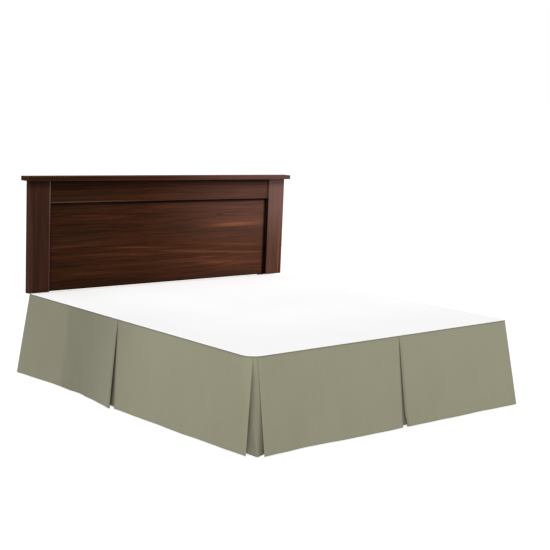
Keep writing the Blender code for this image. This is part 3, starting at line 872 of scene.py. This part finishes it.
PANEL_STREAKS = (
    Streak(-0.78, 0.985, -0.02, 0.34, 0.030, -0.34, -0.45),
    Streak(-0.55, 0.960, 0.02, 0.40, 0.008, 0.16, 0.30),
    Streak(-0.62, 0.936, -0.02, 0.40, 0.010, -0.26, 0.15),
    Streak(-0.45, 0.905, -0.02, 0.55, 0.022, 0.06, 0.15),
    Streak(-0.62, 0.868, 0.02, 0.36, 0.008, -0.16, 0.20),
    Streak(-0.46, 0.838, -0.03, 0.12, 0.006, 0.26, -0.10),
    Streak(-0.56, 0.815, 0.07, 0.32, 0.022, -0.30, -0.90),
    Streak(-0.80, 0.790, 0.10, 0.20, 0.012, -0.16, -0.70),
    Streak(-0.42, 0.780, 0.12, 0.30, 0.012, -0.14, -0.70),
    Streak(-0.62, 0.764, 0.11, 0.34, 0.006, -0.22, -0.75),
    Streak(-0.66, 0.738, 0.04, 0.30, 0.013, 0.22, 0.45),
    Streak(-0.20, 0.710, -0.03, 0.48, 0.012, 0.36, 0.80),
    Streak(-0.72, 0.696, -0.02, 0.26, 0.014, -0.30, 0.10),
    Streak(-0.35, 0.672, -0.04, 0.50, 0.018, 0.10, 0.45),
    Streak(-0.78, 0.632, -0.02, 0.26, 0.030, -0.34, -0.30),
    Streak(-0.32, 0.616, -0.04, 0.36, 0.014, -0.26, 0.25),
    Streak(-0.55, 0.565, -0.03, 0.50, 0.026, 0.06, 0.30),
    Streak(-0.44, 0.520, 0.06, 0.34, 0.007, 0.10, 0.10),
    Streak(-0.36, 0.502, 0.05, 0.48, 0.018, -0.34, -0.75),
    Streak(-0.02, 0.476, 0.02, 0.52, 0.016, -0.22, -0.45),
    Streak(0.04, 0.964, -0.02, 0.30, 0.008, 0.18, 0.10),
    Streak(0.10, 0.925, -0.02, 0.36, 0.012, -0.18, 0.15),
    Streak(0.60, 0.950, 0.00, 0.40, 0.018, 0.34, -0.05),
    Streak(0.66, 0.918, 0.02, 0.40, 0.006, -0.16, -0.10),
    Streak(0.49, 0.903, 0.00, 0.045, 0.010, -0.40, -0.20),
    Streak(0.50, 0.884, 0.00, 0.10, 0.007, 0.16, 0.20),
    Streak(0.68, 0.850, 0.02, 0.50, 0.060, 0.72, 0.36),
    Streak(0.60, 0.832, 0.02, 0.56, 0.024, 0.40, 0.30),
    Streak(0.66, 0.797, 0.02, 0.48, 0.013, -0.34, -0.20),
    Streak(0.22, 0.770, 0.08, 0.36, 0.020, -0.16, -0.20),
    Streak(0.55, 0.742, -0.03, 0.46, 0.013, 0.04, 0.05),
    Streak(0.52, 0.704, -0.06, 0.46, 0.008, 0.16, 0.60),
    Streak(0.60, 0.676, -0.06, 0.40, 0.009, -0.18, 0.00),
    Streak(0.52, 0.647, -0.055, 0.70, 0.014, 0.78, 0.32),
    Streak(0.36, 0.622, -0.04, 0.24, 0.010, 0.16, 0.55),
    Streak(0.45, 0.580, -0.05, 0.60, 0.026, 0.14, 0.45),
    Streak(0.24, 0.536, 0.02, 0.46, 0.008, 0.10, 0.20),
    Streak(0.42, 0.500, 0.03, 0.60, 0.020, -0.30, -0.60),
    Streak(0.78, 0.478, -0.02, 0.34, 0.020, -0.24, -0.40),
)
RAIL_STREAKS = (
    Streak(-0.62, 1.086, 0.01, 0.30, 0.007, -0.34, -0.20),
    Streak(-0.66, 1.052, 0.02, 0.34, 0.016, -0.16, -0.60),
    Streak(-0.45, 1.026, 0.02, 0.40, 0.008, 0.16, 0.15),
    Streak(-0.16, 1.066, 0.04, 0.34, 0.008, -0.22, -0.25),
    Streak(-0.10, 1.036, 0.02, 0.34, 0.010, 0.24, 0.40),
    Streak(0.20, 1.082, -0.03, 0.40, 0.010, 0.12, 0.15),
    Streak(0.40, 1.058, 0.04, 0.34, 0.007, -0.20, -0.10),
    Streak(0.68, 1.036, 0.05, 0.26, 0.009, 0.26, 0.30),
    Streak(0.66, 1.084, 0.02, 0.30, 0.008, -0.16, -0.15),
)
LEFT_POST_STREAKS = (
    Streak(0.80, -0.956, 0.00, 0.70, 0.018, 0.08, 0.30),
    Streak(0.84, -0.912, 0.01, 0.60, 0.036, -0.20, -0.55),
    Streak(0.88, -0.894, 0.02, 0.40, 0.006, -0.30, -0.40),
    Streak(0.72, -0.876, -0.03, 0.40, 0.006, -0.30, -0.50),
    Streak(0.56, -0.862, -0.02, 0.24, 0.014, 0.08, 0.20),
    Streak(1.02, -0.870, 0.00, 0.20, 0.020, -0.26, -0.30),
)
RIGHT_POST_STREAKS = (
    Streak(0.76, 0.910, 0.00, 0.70, 0.018, -0.14, -0.10),
    Streak(0.70, 0.940, 0.02, 0.50, 0.008, 0.12, 0.15),
    Streak(0.98, 0.968, 0.00, 0.40, 0.026, 0.22, -0.10),
    Streak(0.66, 0.984, -0.01, 0.40, 0.010, -0.18, -0.20),
    Streak(0.64, 1.016, 0.02, 0.40, 0.009, 0.40, 0.45),
    Streak(0.56, 1.032, 0.00, 0.20, 0.006, -0.16, -0.30),
)
CAP_STREAKS = (
    Streak(-0.30, 1.160, 0.00, 0.70, 0.020, -0.12, 0.10),
    Streak(-0.10, 1.150, 0.01, 0.50, 0.005, 0.14, 0.20),
    Streak(0.55, 1.155, 0.00, 0.50, 0.020, 0.12, -0.05),
)


# A board: the solid that it stands for, whether its grain is upright, the radius of its edges, its
# grid's steps, its slot, its streaks, and its tone at its left and at its right end before them;
# the rise of the tone towards the right is painted light.
Board = namedtuple("Board", "node upright edge steps slot streaks tones")
POST_STEPS = (0.006, 0.010, 0.012)
BOARD_STEPS = (0.012, 0.010, 0.004)
STRUT_STEPS = (0.010, 0.010, 0.020)
BOARDS = {
    "board_post_left": Board("post_left", True, 0.002, POST_STEPS, "dark_wood",
                             LEFT_POST_STREAKS, (0.90, 2.04)),
    "board_post_right": Board("post_right", True, 0.002, POST_STEPS, "dark_wood",
                              RIGHT_POST_STREAKS, (0.90, 2.04)),
    "board_rail": Board("top_rail", False, 0.0015, BOARD_STEPS, "dark_wood",
                        RAIL_STREAKS, (0.78, 1.75)),
    "board_panel": Board("panel", False, 0.0008, BOARD_STEPS, "dark_wood",
                         PANEL_STREAKS, (0.84, 1.75)),
    "board_cap": Board("cap", False, 0.004, BOARD_STEPS, "dark_wood", CAP_STREAKS, (0.80, 1.75)),
    "board_strut_left": Board("strut_left", True, 0.002, STRUT_STEPS, "strut_wood", (), (1.1, 1.1)),
    "board_strut_right": Board("strut_right", True, 0.002, STRUT_STEPS, "strut_wood", (),
                               (1.1, 1.1)),
}

# The painted sheen at the right, a pale reflection: on level boards, low and what it gains higher
# up; on posts, the same after a little on both of them; and what the cap's has more.
BOARD_PAINTED_SHEEN = 0.22
BOARD_PAINTED_SHEEN_GAIN = 0.55
POST_PAINTED_SHEEN_BOTH = 0.12
POST_PAINTED_SHEEN = 0.38
POST_PAINTED_SHEEN_GAIN = 2.05
CAP_PAINTED_SHEEN_MORE = 0.38

# How deep the shadows are: of the cap on the rail and of the rail on the panel, at the left and
# what they gain towards the right; of the cap on the posts; of the right post on the rail and on
# the panel beside it; and on that post's inner side, below the rail and what it loses beside it.
CAP_SHADOW = 0.56
CAP_SHADOW_GAIN = 0.28
RAIL_SHADOW = 0.35
RAIL_SHADOW_GAIN = 0.53
CAP_SHADOW_ON_POST = 0.50
POST_SHADOW_ON_RAIL = 0.60
POST_SHADOW_ON_PANEL = 0.90
INNER_SIDE_SHADE = 0.94
INNER_SIDE_LOSS = 0.24

# The light lines: on the left post's inner edge, low and what it gains towards the top, and on the
# rail's lower edge.
POST_GLINT = 0.25
POST_GLINT_GAIN = 0.75
RAIL_GLINT = 0.34


def streak_mask(streak, along, across):
    """1 on a streak's line, falling off softly along and across it."""
    line = streak.across + streak.slope * (along - streak.along)
    return bump(along, streak.along, streak.half_length) * bump(across, line, streak.half_width)


def dress_board(piece, points, board, painted_sheen, shade, glint):
    """Gives a board its tones from left to right, whose rise is painted light, and its streaks.

    The three functions after the board are of the place, from the bed's middle and up from the
    floor:
    a painted sheen, a painted shadow that multiplies the tone and the sheen, and a painted
    highlight line.
    """
    x, z = points[:, 0] - BED_CENTRE[0], points[:, 2]
    along, across = (z, x) if board.upright else (x, z)
    left_tone, right_tone = board.tones
    # the rise of the tone towards the right is painted light
    tone = left_tone + (right_tone - left_tone) * soft_step(-0.75, 1.05, x)
    warmth = np.zeros_like(x)
    for streak in board.streaks:
        mask = streak_mask(streak, along, across)
        tone = tone * (1 + streak.tone * mask)
        warmth = warmth + streak.warmth * mask
    add_attribute(piece, "tone", tone * shade(x, z))
    add_attribute(piece, "warmth", warmth)
    add_attribute(piece, "painted_sheen", painted_sheen(x, z) * shade(x, z))
    add_attribute(piece, "glint", glint(x, z))


def add_headboard(materials):
    """The posts with upright grain, the rail, panel and cap with level grain, and two struts."""
    cap_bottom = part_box("cap")[0][2]
    rail_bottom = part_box("top_rail")[0][2]
    left_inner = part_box("post_left")[1][0] - BED_CENTRE[0]
    right_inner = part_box("post_right")[0][0] - BED_CENTRE[0]

    def board_painted_sheen(x, z):
        """A level board's painted sheen: none at the left, and more towards the top."""
        return soft_step(-0.2, 1.0, x) * (BOARD_PAINTED_SHEEN + BOARD_PAINTED_SHEEN_GAIN * soft_step(0.64, 0.92, z))

    def post_painted_sheen(x, z):
        """A post's painted sheen: a little on both, and much on the upper half of the right one."""
        higher = POST_PAINTED_SHEEN + POST_PAINTED_SHEEN_GAIN * soft_step(0.60, 1.12, z)
        return POST_PAINTED_SHEEN_BOTH + soft_step(0.0, 0.9, x) * higher

    def cap_painted_sheen(x, z):
        """The cap's painted sheen: a level board's, and some more towards the right."""
        return board_painted_sheen(x, z) + CAP_PAINTED_SHEEN_MORE * soft_step(0.1, 1.0, x)

    def rail_shade(x, z):
        """The cap's shadow on the rail, and the right post's in the corner beside it."""
        deep = CAP_SHADOW + CAP_SHADOW_GAIN * soft_step(-0.4, 0.9, x)
        under_cap = deep * fade(0.006, 0.038, cap_bottom - z)
        near_post = POST_SHADOW_ON_RAIL * fade(0.002, 0.012, right_inner - x)
        return (1 - under_cap) * (1 - near_post)

    def panel_shade(x, z):
        """The rail's shadow on the panel, and the right post's in the corner beside it."""
        deep = RAIL_SHADOW + RAIL_SHADOW_GAIN * soft_step(-0.85, 0.0, x)
        under_rail = deep * fade(0.008, 0.022, rail_bottom - z)
        near_post = POST_SHADOW_ON_PANEL * fade(0.012, 0.028, right_inner - x)
        return (1 - under_rail) * (1 - near_post)

    def post_shade(x, z):
        """The cap's shadow on both posts, and the dark of the right one's inner side."""
        beside_rail = soft_step(rail_bottom - 0.004, rail_bottom + 0.010, z)
        deep = INNER_SIDE_SHADE - INNER_SIDE_LOSS * beside_rail
        inner_side = deep * fade(0.0005, 0.003, abs(x - right_inner))
        under_cap = CAP_SHADOW_ON_POST * fade(0.004, 0.024, cap_bottom - z)
        return (1 - under_cap) * (1 - inner_side)

    def post_glint(x, z):
        """The light line on the left post's inner edge, brighter towards the top."""
        higher = POST_GLINT + POST_GLINT_GAIN * soft_step(0.80, 1.13, z)
        return bump(x, left_inner - 0.001, 0.007) * higher

    def rail_glint(x, z):
        """The light line on the rail's lower edge, at the left."""
        return RAIL_GLINT * bump(z, rail_bottom + 0.002, 0.006) * fade(-0.6, 0.1, x)

    def no_shade(x, z):
        """Every place keeps its tone."""
        return np.ones_like(x)

    def nothing(x, z):
        """No painted sheen or no painted highlight line."""
        return np.zeros_like(x)

    # each board's painted sheen, painted shadow and painted highlight line; the hidden struts have
    # none
    lights = {
        "board_post_left": (post_painted_sheen, post_shade, post_glint),
        "board_post_right": (post_painted_sheen, post_shade, post_glint),
        "board_rail": (board_painted_sheen, rail_shade, rail_glint),
        "board_panel": (board_painted_sheen, panel_shade, nothing),
        "board_cap": (cap_painted_sheen, no_shade, nothing),
    }
    for name, board in BOARDS.items():
        wood = materials["upright_wood" if board.upright else "wood"]
        piece, points = add_block(name, board.node, board.edge, board.steps, wood)
        dress_board(piece, points, board, *lights.get(name, (nothing, no_shade, nothing)))


# ---------------------------------------------------------------- materials
# A material's colours as its shader takes them: plain, where only one can be shown, and the dark
# and the light one that its pattern mixes.
Colours = namedtuple("Colours", "plain dark light")
SAGE = Colours(plain=(0.227, 0.218, 0.150), dark=(0.198, 0.191, 0.130), light=(0.227, 0.218, 0.150))
DECK = Colours(plain=(0.86, 0.86, 0.86), dark=(0.855, 0.855, 0.855), light=(0.885, 0.885, 0.885))
TICKING = Colours(plain=(0.70, 0.68, 0.63), dark=(0.60, 0.575, 0.52), light=(0.76, 0.74, 0.69))
STEEL = Colours(plain=(0.02, 0.02, 0.022), dark=(0.018, 0.018, 0.020), light=(0.065, 0.063, 0.060))
RUBBER = Colours(plain=(0.014, 0.014, 0.014), dark=(0.012, 0.012, 0.012),
                 light=(0.085, 0.080, 0.072))
THREAD = Colours(plain=(0.24, 0.23, 0.165), dark=(0.20, 0.19, 0.135), light=(0.28, 0.27, 0.195))
WOOD = Colours(plain=(0.05, 0.02, 0.01), dark=(0.019, 0.0056, 0.0022),
               light=(0.058, 0.0178, 0.0078))
# the colours of the cloth's painted shade, of the wood's warm and olive streaks, of its painted
# sheen, of its edges lighter from wear and painted highlight, and of its painted highlight lines
SAGE_PAINTED_SHADE = (0.055, 0.053, 0.035)
WOOD_WARM = (0.108, 0.040, 0.0125)
WOOD_OLIVE = (0.028, 0.0165, 0.0070)
WOOD_PAINTED_SHEEN = (0.20, 0.115, 0.105)
WOOD_WEAR_AND_HIGHLIGHT = (0.22, 0.15, 0.13)
WOOD_GLINT = (0.20, 0.125, 0.110)

# how much of the deep or the pale colour a painted shade, a painted sheen or an edge lighter from
# wear and painted highlight of full strength brings
SEAM_MIX = 0.55
GAP_MIX = 0.80
WARMTH_MIX = 0.60
PAINTED_SHEEN_MIX = 0.28
WEAR_AND_HIGHLIGHT_MIX = 0.10

SAGE_PITCH = 0.0008
DECK_PITCH = 0.0007
# the distance between the ridges of a wave texture whose scale is 1
WAVE_PITCH = 2 * math.pi / 20


def start_material(name, colour, roughness, level):
    """A Principled material; returns it, its node tree and its shader."""
    material = bpy.data.materials.new(name)
    material.use_nodes = True
    shader = material.node_tree.nodes["Principled BSDF"]
    shader.inputs["Base Color"].default_value = (*colour, 1.0)
    shader.inputs["Roughness"].default_value = roughness
    shader.inputs["Metallic"].default_value = 0.0
    shader.inputs["Specular IOR Level"].default_value = level
    return material, material.node_tree, shader


def add_node(tree, kind, inputs=None, **settings):
    """A shader node with its settings, and its sockets set or linked."""
    node = tree.nodes.new("ShaderNode" + kind)
    for key, value in settings.items():
        setattr(node, key, value)
    for key, value in (inputs or {}).items():
        if isinstance(value, bpy.types.NodeSocket):
            tree.links.new(value, node.inputs[key])
        else:
            node.inputs[key].default_value = value
    return node


def link(tree, shader, sockets):
    """Links sockets to the shader's inputs of these names."""
    for name, socket in sockets.items():
        tree.links.new(socket, shader.inputs[name])


def cloth_place(tree):
    """The place on the cloth, in metres of it."""
    return add_node(tree, "UVMap", uv_map="cloth").outputs[0]


def solid_place(tree):
    """The place in the bed, in metres."""
    return add_node(tree, "TexCoord").outputs["Object"]


def attribute(tree, name):
    """The number that add_attribute gave each point."""
    return add_node(tree, "Attribute", attribute_name=name).outputs["Fac"]


def noise(tree, place, stretch, detail, roughness=0.5):
    """Noise with about so many lumps to a metre along each axis; its value averages one half."""
    mapped = add_node(tree, "Mapping", {"Vector": place, "Scale": stretch}).outputs[0]
    return add_node(tree, "TexNoise", {"Vector": mapped, "Scale": 1.0, "Detail": detail,
                                       "Roughness": roughness}).outputs[0]


def span(tree, value, from_low, from_high, to_low, to_high):
    """Maps one range of a value onto another, held at its ends."""
    return add_node(tree, "MapRange", {0: value, 1: from_low, 2: from_high, 3: to_low,
                                       4: to_high}).outputs[0]


def spread(tree, value, low, high):
    """Maps a noise's usual range onto another."""
    return span(tree, value, 0.3, 0.7, low, high)


def times(tree, first, second):
    """One value times another."""
    return add_node(tree, "Math", {0: first, 1: second}, operation="MULTIPLY").outputs[0]


def plus(tree, first, second):
    """One value plus another."""
    return add_node(tree, "Math", {0: first, 1: second}, operation="ADD").outputs[0]


def blend_colour(tree, share, first, second):
    """Mixes two colours, each a socket or an RGB triple."""
    inputs = {0: share}
    for key, colour in ((6, first), (7, second)):
        inputs[key] = colour if isinstance(colour, bpy.types.NodeSocket) else (*colour, 1.0)
    return add_node(tree, "Mix", inputs, data_type="RGBA").outputs[2]


def scale_colour(tree, colour, factor):
    """A colour made lighter or darker by a factor."""
    return add_node(tree, "VectorMath", {0: colour, "Scale": factor}, operation="SCALE").outputs[0]


def relief(tree, height, distance, strength):
    """The normal of a fine relief, from its height."""
    return add_node(tree, "Bump", {"Height": height, "Distance": distance,
                                   "Strength": strength}).outputs[0]


def weave(tree, place, pitch, distance, strength):
    """A plain weave's normal: two sets of ridges a thread apart, with uneven yarn on top."""
    ridges = {"Vector": place, "Scale": WAVE_PITCH / pitch}
    warp = add_node(tree, "TexWave", ridges, bands_direction="X").outputs["Fac"]
    weft = add_node(tree, "TexWave", ridges, bands_direction="Y").outputs["Fac"]
    yarn = noise(tree, place, (1 / pitch, 0.12 / pitch, 1.0), 3)
    return relief(tree, plus(tree, plus(tree, warp, weft), yarn), distance, strength)


def sage_material():
    """Matte plain-weave cloth: slubs run down it, with slow mottling, painted light and shade along
    the drops, and painted shade at the seams and in the gaps.
    """
    material, tree, shader = start_material("sage_cloth_look", SAGE.plain, 0.93, level=0.15)
    place = cloth_place(tree)
    slub = spread(tree, noise(tree, place, (150, 6, 1), 4, 0.6), -0.16, 0.16)
    fine = spread(tree, noise(tree, place, (620, 40, 1), 2), -0.10, 0.10)
    mottle = spread(tree, noise(tree, place, (5, 4, 1), 2), 0.38, 0.62)
    colour = blend_colour(tree, plus(tree, plus(tree, slub, fine), mottle), SAGE.dark, SAGE.light)
    # the tone is painted light and shade along the drops
    colour = scale_colour(tree, colour, attribute(tree, "tone"))
    # painted shade under the seam, in the pleats' gaps and on the inserts
    for shade, mix in (("seam_shade", SEAM_MIX), ("gap_shade", GAP_MIX)):
        share = span(tree, attribute(tree, shade), 0, 1, 0, mix)
        colour = blend_colour(tree, share, colour, SAGE_PAINTED_SHADE)
    normal = weave(tree, place, SAGE_PITCH, 0.00025, 0.35)
    link(tree, shader, {"Base Color": colour, "Normal": normal})
    shader.inputs["Sheen Weight"].default_value = 0.12
    shader.inputs["Sheen Roughness"].default_value = 0.5
    return material


def deck_material():
    """The white platform cloth: a finer, flatter weave with faint clouding."""
    material, tree, shader = start_material("deck_cloth_look", DECK.plain, 0.9, level=0.2)
    place = cloth_place(tree)
    cloud = spread(tree, noise(tree, place, (1.6, 1.2, 1), 2), 0.2, 0.7)
    slub = spread(tree, noise(tree, place, (110, 9, 1), 3), -0.1, 0.1)
    colour = blend_colour(tree, plus(tree, cloud, slub), DECK.dark, DECK.light)
    # the tone is painted light: brighter towards the head, duller at the left
    colour = scale_colour(tree, colour, attribute(tree, "tone"))
    normal = weave(tree, place, DECK_PITCH, 0.0002, 0.25)
    link(tree, shader, {"Base Color": colour, "Normal": normal})
    return material


def ticking_material():
    """The base's cover: cream twill whose ridges run aslant, with faint flecks."""
    material, tree, shader = start_material("base_ticking_look", TICKING.plain, 0.9, level=0.2)
    place = solid_place(tree)
    fleck = noise(tree, place, (260, 260, 90), 3, 0.6)
    cloud = spread(tree, noise(tree, place, (6, 6, 6), 2), -0.2, 0.2)
    share = plus(tree, spread(tree, fleck, 0.2, 0.8), cloud)
    colour = blend_colour(tree, share, TICKING.dark, TICKING.light)
    twill = add_node(tree, "TexWave", {"Vector": place, "Scale": 160.0}, bands_direction="DIAGONAL")
    normal = relief(tree, plus(tree, twill.outputs["Fac"], fleck), 0.0004, 0.5)
    link(tree, shader, {"Base Color": colour, "Normal": normal})
    return material


def steel_material():
    """Dark powder-coated steel: a fine pebbled coat, rubbed a little lighter on the edges."""
    material, tree, shader = start_material("dark_steel_look", STEEL.plain, 0.45, level=0.5)
    place = solid_place(tree)
    pebble = noise(tree, place, (900, 900, 900), 2)
    wear = times(tree, attribute(tree, "edge"), noise(tree, place, (30, 30, 30), 3))
    link(tree, shader, {"Base Color": blend_colour(tree, wear, STEEL.dark, STEEL.light),
                        "Roughness": spread(tree, pebble, 0.38, 0.58),
                        "Normal": relief(tree, pebble, 0.0003, 0.4)})
    return material


def rubber_material():
    """Black rubber with a dusty foot."""
    material, tree, shader = start_material("glide_rubber_look", RUBBER.plain, 0.75, level=0.35)
    place = solid_place(tree)
    dust = noise(tree, place, (120, 120, 260), 4, 0.6)
    height = add_node(tree, "SeparateXYZ", {0: place}).outputs["Z"]
    dusty = times(tree, dust, span(tree, height, 0.0, 0.006, 1.0, 0.2))
    link(tree, shader, {"Base Color": blend_colour(tree, dusty, RUBBER.dark, RUBBER.light),
                        "Roughness": spread(tree, dust, 0.65, 0.85)})
    return material


def wood_material(name, upright):
    """Dark stained wood: growth bands and fibres drawn along the grain, and the boards' tones, with
    painted light, shadows, sheen and highlights.
    """
    material, tree, shader = start_material(name, WOOD.plain, 0.42, level=0.02)
    place = solid_place(tree)

    def stretch(along, across):
        """A noise's lumps to a metre along and across the grain, for its three axes."""
        return (across, across, along) if upright else (along, across, across)

    # the grain sways slowly sideways, by a few centimetres
    sway = add_node(tree, "Mapping", {"Vector": place, "Scale": stretch(1.1, 3.5)}).outputs[0]
    sway = add_node(tree, "TexNoise", {"Vector": sway, "Scale": 1.0, "Detail": 2.0})
    amount = (0.035, 0.0, 0.0) if upright else (0.0, 0.0, 0.045)
    grain = add_node(tree, "VectorMath", {0: sway.outputs["Color"], 1: amount, 2: place},
                     operation="MULTIPLY_ADD").outputs[0]
    bands = span(tree, noise(tree, grain, stretch(0.8, 17), 3), 0.36, 0.64, 0.24, 0.50)
    lines = span(tree, noise(tree, grain, stretch(2.2, 165), 3, 0.75), 0.37, 0.63, -0.32, 0.38)
    colour = blend_colour(tree, plus(tree, bands, lines), WOOD.dark, WOOD.light)
    # a warmth below 0 draws the colour to olive
    hue = span(tree, noise(tree, grain, stretch(1.4, 30), 2), 0.36, 0.64, -0.34, 0.14)
    warmth = plus(tree, attribute(tree, "warmth"), hue)
    colour = blend_colour(tree, span(tree, warmth, 0, 1, 0, WARMTH_MIX), colour, WOOD_WARM)
    colour = blend_colour(tree, span(tree, warmth, -1, 0, WARMTH_MIX, 0), colour, WOOD_OLIVE)
    fibres = noise(tree, grain, stretch(7, 420), 3, 0.65)
    pores = noise(tree, grain, stretch(28, 900), 2)
    depth = times(tree, spread(tree, fibres, 0.84, 1.16), span(tree, pores, 0.36, 0.5, 0.86, 1.0))
    # the tone holds the streaks, the painted light and the painted shadows
    colour = scale_colour(tree, colour, times(tree, depth, attribute(tree, "tone")))
    # the painted sheen goes on growing up to a strength of 2
    sheen_share = span(tree, attribute(tree, "painted_sheen"), 0, 2, 0, 2 * PAINTED_SHEEN_MIX)
    colour = blend_colour(tree, sheen_share, colour, WOOD_PAINTED_SHEEN)
    # edges lighter from wear and from painted highlight
    colour = blend_colour(tree, times(tree, attribute(tree, "edge"), WEAR_AND_HIGHLIGHT_MIX), colour, WOOD_WEAR_AND_HIGHLIGHT)
    colour = blend_colour(tree, attribute(tree, "glint"), colour, WOOD_GLINT)
    link(tree, shader, {"Base Color": colour, "Roughness": spread(tree, fibres, 0.36, 0.52),
                        "Normal": relief(tree, plus(tree, fibres, pores), 0.0003, 0.25)})
    return material


def thread_material():
    """Sewing thread: the cloth's colour, a little lighter, with a faint twist."""
    material, tree, shader = start_material("thread_look", THREAD.plain, 0.6, level=0.2)
    twist = noise(tree, solid_place(tree), (1500, 1500, 1500), 2)
    link(tree, shader, {"Base Color": blend_colour(tree, twist, THREAD.dark, THREAD.light)})
    return material


def make_materials():
    """All materials, by the name that the pieces ask for."""
    return {
        "sage": sage_material(),
        "deck": deck_material(),
        "ticking": ticking_material(),
        "steel": steel_material(),
        "rubber": rubber_material(),
        "wood": wood_material("board_wood_look", False),
        "upright_wood": wood_material("post_wood_look", True),
        "thread": thread_material(),
    }


# ---------------------------------------------------------------- floor, light and camera
FLOOR_REACH = 60.0
FLOOR_GREY = (0.25, 0.25, 0.25)
FLOOR_GLOW = 0.82
WORLD_SEEN = 1.0
WORLD_LIGHT = 0.35
# the way from the bed towards the key light, its strength and how wide it looks
KEY_WAY = (-0.50, -0.53, 0.80)
KEY_STRENGTH = 3.40
KEY_ANGLE = math.radians(20)

PHOTO_SIDE = 550
FOCAL_PIXELS = 1108.9
SENSOR = 36.0
CAMERA_FROM_BED = (-4.232, -4.798, 1.568)
CAMERA_YAW = math.radians(41.93)
CAMERA_PITCH = math.radians(8.08)
CAMERA_ROLL = math.radians(2.38)
CLIP_NEAR = 0.1
CLIP_FAR = 500.0


def add_floor():
    """A wide white floor, half self-lit, so that it stays as white as a studio sweep."""
    material, _, shader = start_material("studio_floor", FLOOR_GREY, 0.9, level=0.0)
    shader.inputs["Emission Color"].default_value = (1, 1, 1, 1)
    shader.inputs["Emission Strength"].default_value = FLOOR_GLOW
    corners = np.array([(-1, -1, 0), (1, -1, 0), (1, 1, 0), (-1, 1, 0)], float)
    floor = make_object("floor", corners * FLOOR_REACH, [(0, 1, 2, 3)], material, body=None)


def add_key():
    """A wide soft light from far away, over the near foot corner."""
    data = bpy.data.lights.new("key", "SUN")
    data.energy = KEY_STRENGTH
    data.angle = KEY_ANGLE
    light = bpy.data.objects.new("key", data)
    light.rotation_mode = "QUATERNION"
    light.rotation_quaternion = Vector(KEY_WAY).to_track_quat("Z", "Y")
    bpy.context.scene.collection.objects.link(light)


def add_world():
    """White as the camera sees it, and dimmer as a light, so that the key shapes the cloth."""
    world = bpy.data.worlds.new("studio_world")
    world.use_nodes = True
    tree = world.node_tree
    background = tree.nodes["Background"]
    background.inputs["Color"].default_value = (1, 1, 1, 1)
    seen = add_node(tree, "LightPath").outputs["Is Camera Ray"]
    link(tree, background, {"Strength": span(tree, seen, 0, 1, WORLD_LIGHT, WORLD_SEEN)})
    bpy.context.scene.world = world


def add_camera():
    """The photograph's view: yaw, pitch and roll about the place where the camera stands."""
    forward = np.array([math.sin(CAMERA_YAW) * math.cos(CAMERA_PITCH),
                        math.cos(CAMERA_YAW) * math.cos(CAMERA_PITCH), -math.sin(CAMERA_PITCH)])
    level = np.array([math.cos(CAMERA_YAW), -math.sin(CAMERA_YAW), 0.0])
    upright = np.cross(level, forward)
    right = math.cos(CAMERA_ROLL) * level + math.sin(CAMERA_ROLL) * upright
    up = math.cos(CAMERA_ROLL) * upright - math.sin(CAMERA_ROLL) * level
    data = bpy.data.cameras.new("camera")
    data.sensor_width = SENSOR
    data.lens = FOCAL_PIXELS / PHOTO_SIDE * SENSOR
    data.clip_start = CLIP_NEAR
    data.clip_end = CLIP_FAR
    camera = bpy.data.objects.new("camera", data)
    place = np.array(CAMERA_FROM_BED) + np.array([*BED_CENTRE, 0])
    matrix = np.eye(4)
    matrix[:3, 0], matrix[:3, 1], matrix[:3, 2], matrix[:3, 3] = right, up, -forward, place
    camera.matrix_world = Matrix(matrix.tolist())
    bpy.context.scene.collection.objects.link(camera)
    bpy.context.scene.camera = camera


def add_studio():
    """White world and floor, the key light, the camera, and plain colours in the picture."""
    add_floor()
    add_world()
    add_key()
    add_camera()
    bpy.context.scene.view_settings.view_transform = "Standard"


def build():
    """The whole bed and its skirt, on its floor in the photograph's view."""
    materials = make_materials()
    add_deck(materials)
    for name in ("left", "right"):
        add_drop(f"drop_{name}", SIDES[name], SIDE_DROPS[name], SIDE_WAVES, SIDE_SHADES, materials)
        add_insert(f"insert_{name}", SIDES[name], CORNERS[name].insert_out, materials)
    add_drop("drop_foot", SIDES["foot"], FOOT_DROP, FOOT_WAVES, FOOT_SHADES, materials)
    add_base(materials)
    add_frame(materials)
    add_headboard(materials)
    add_studio()


build()
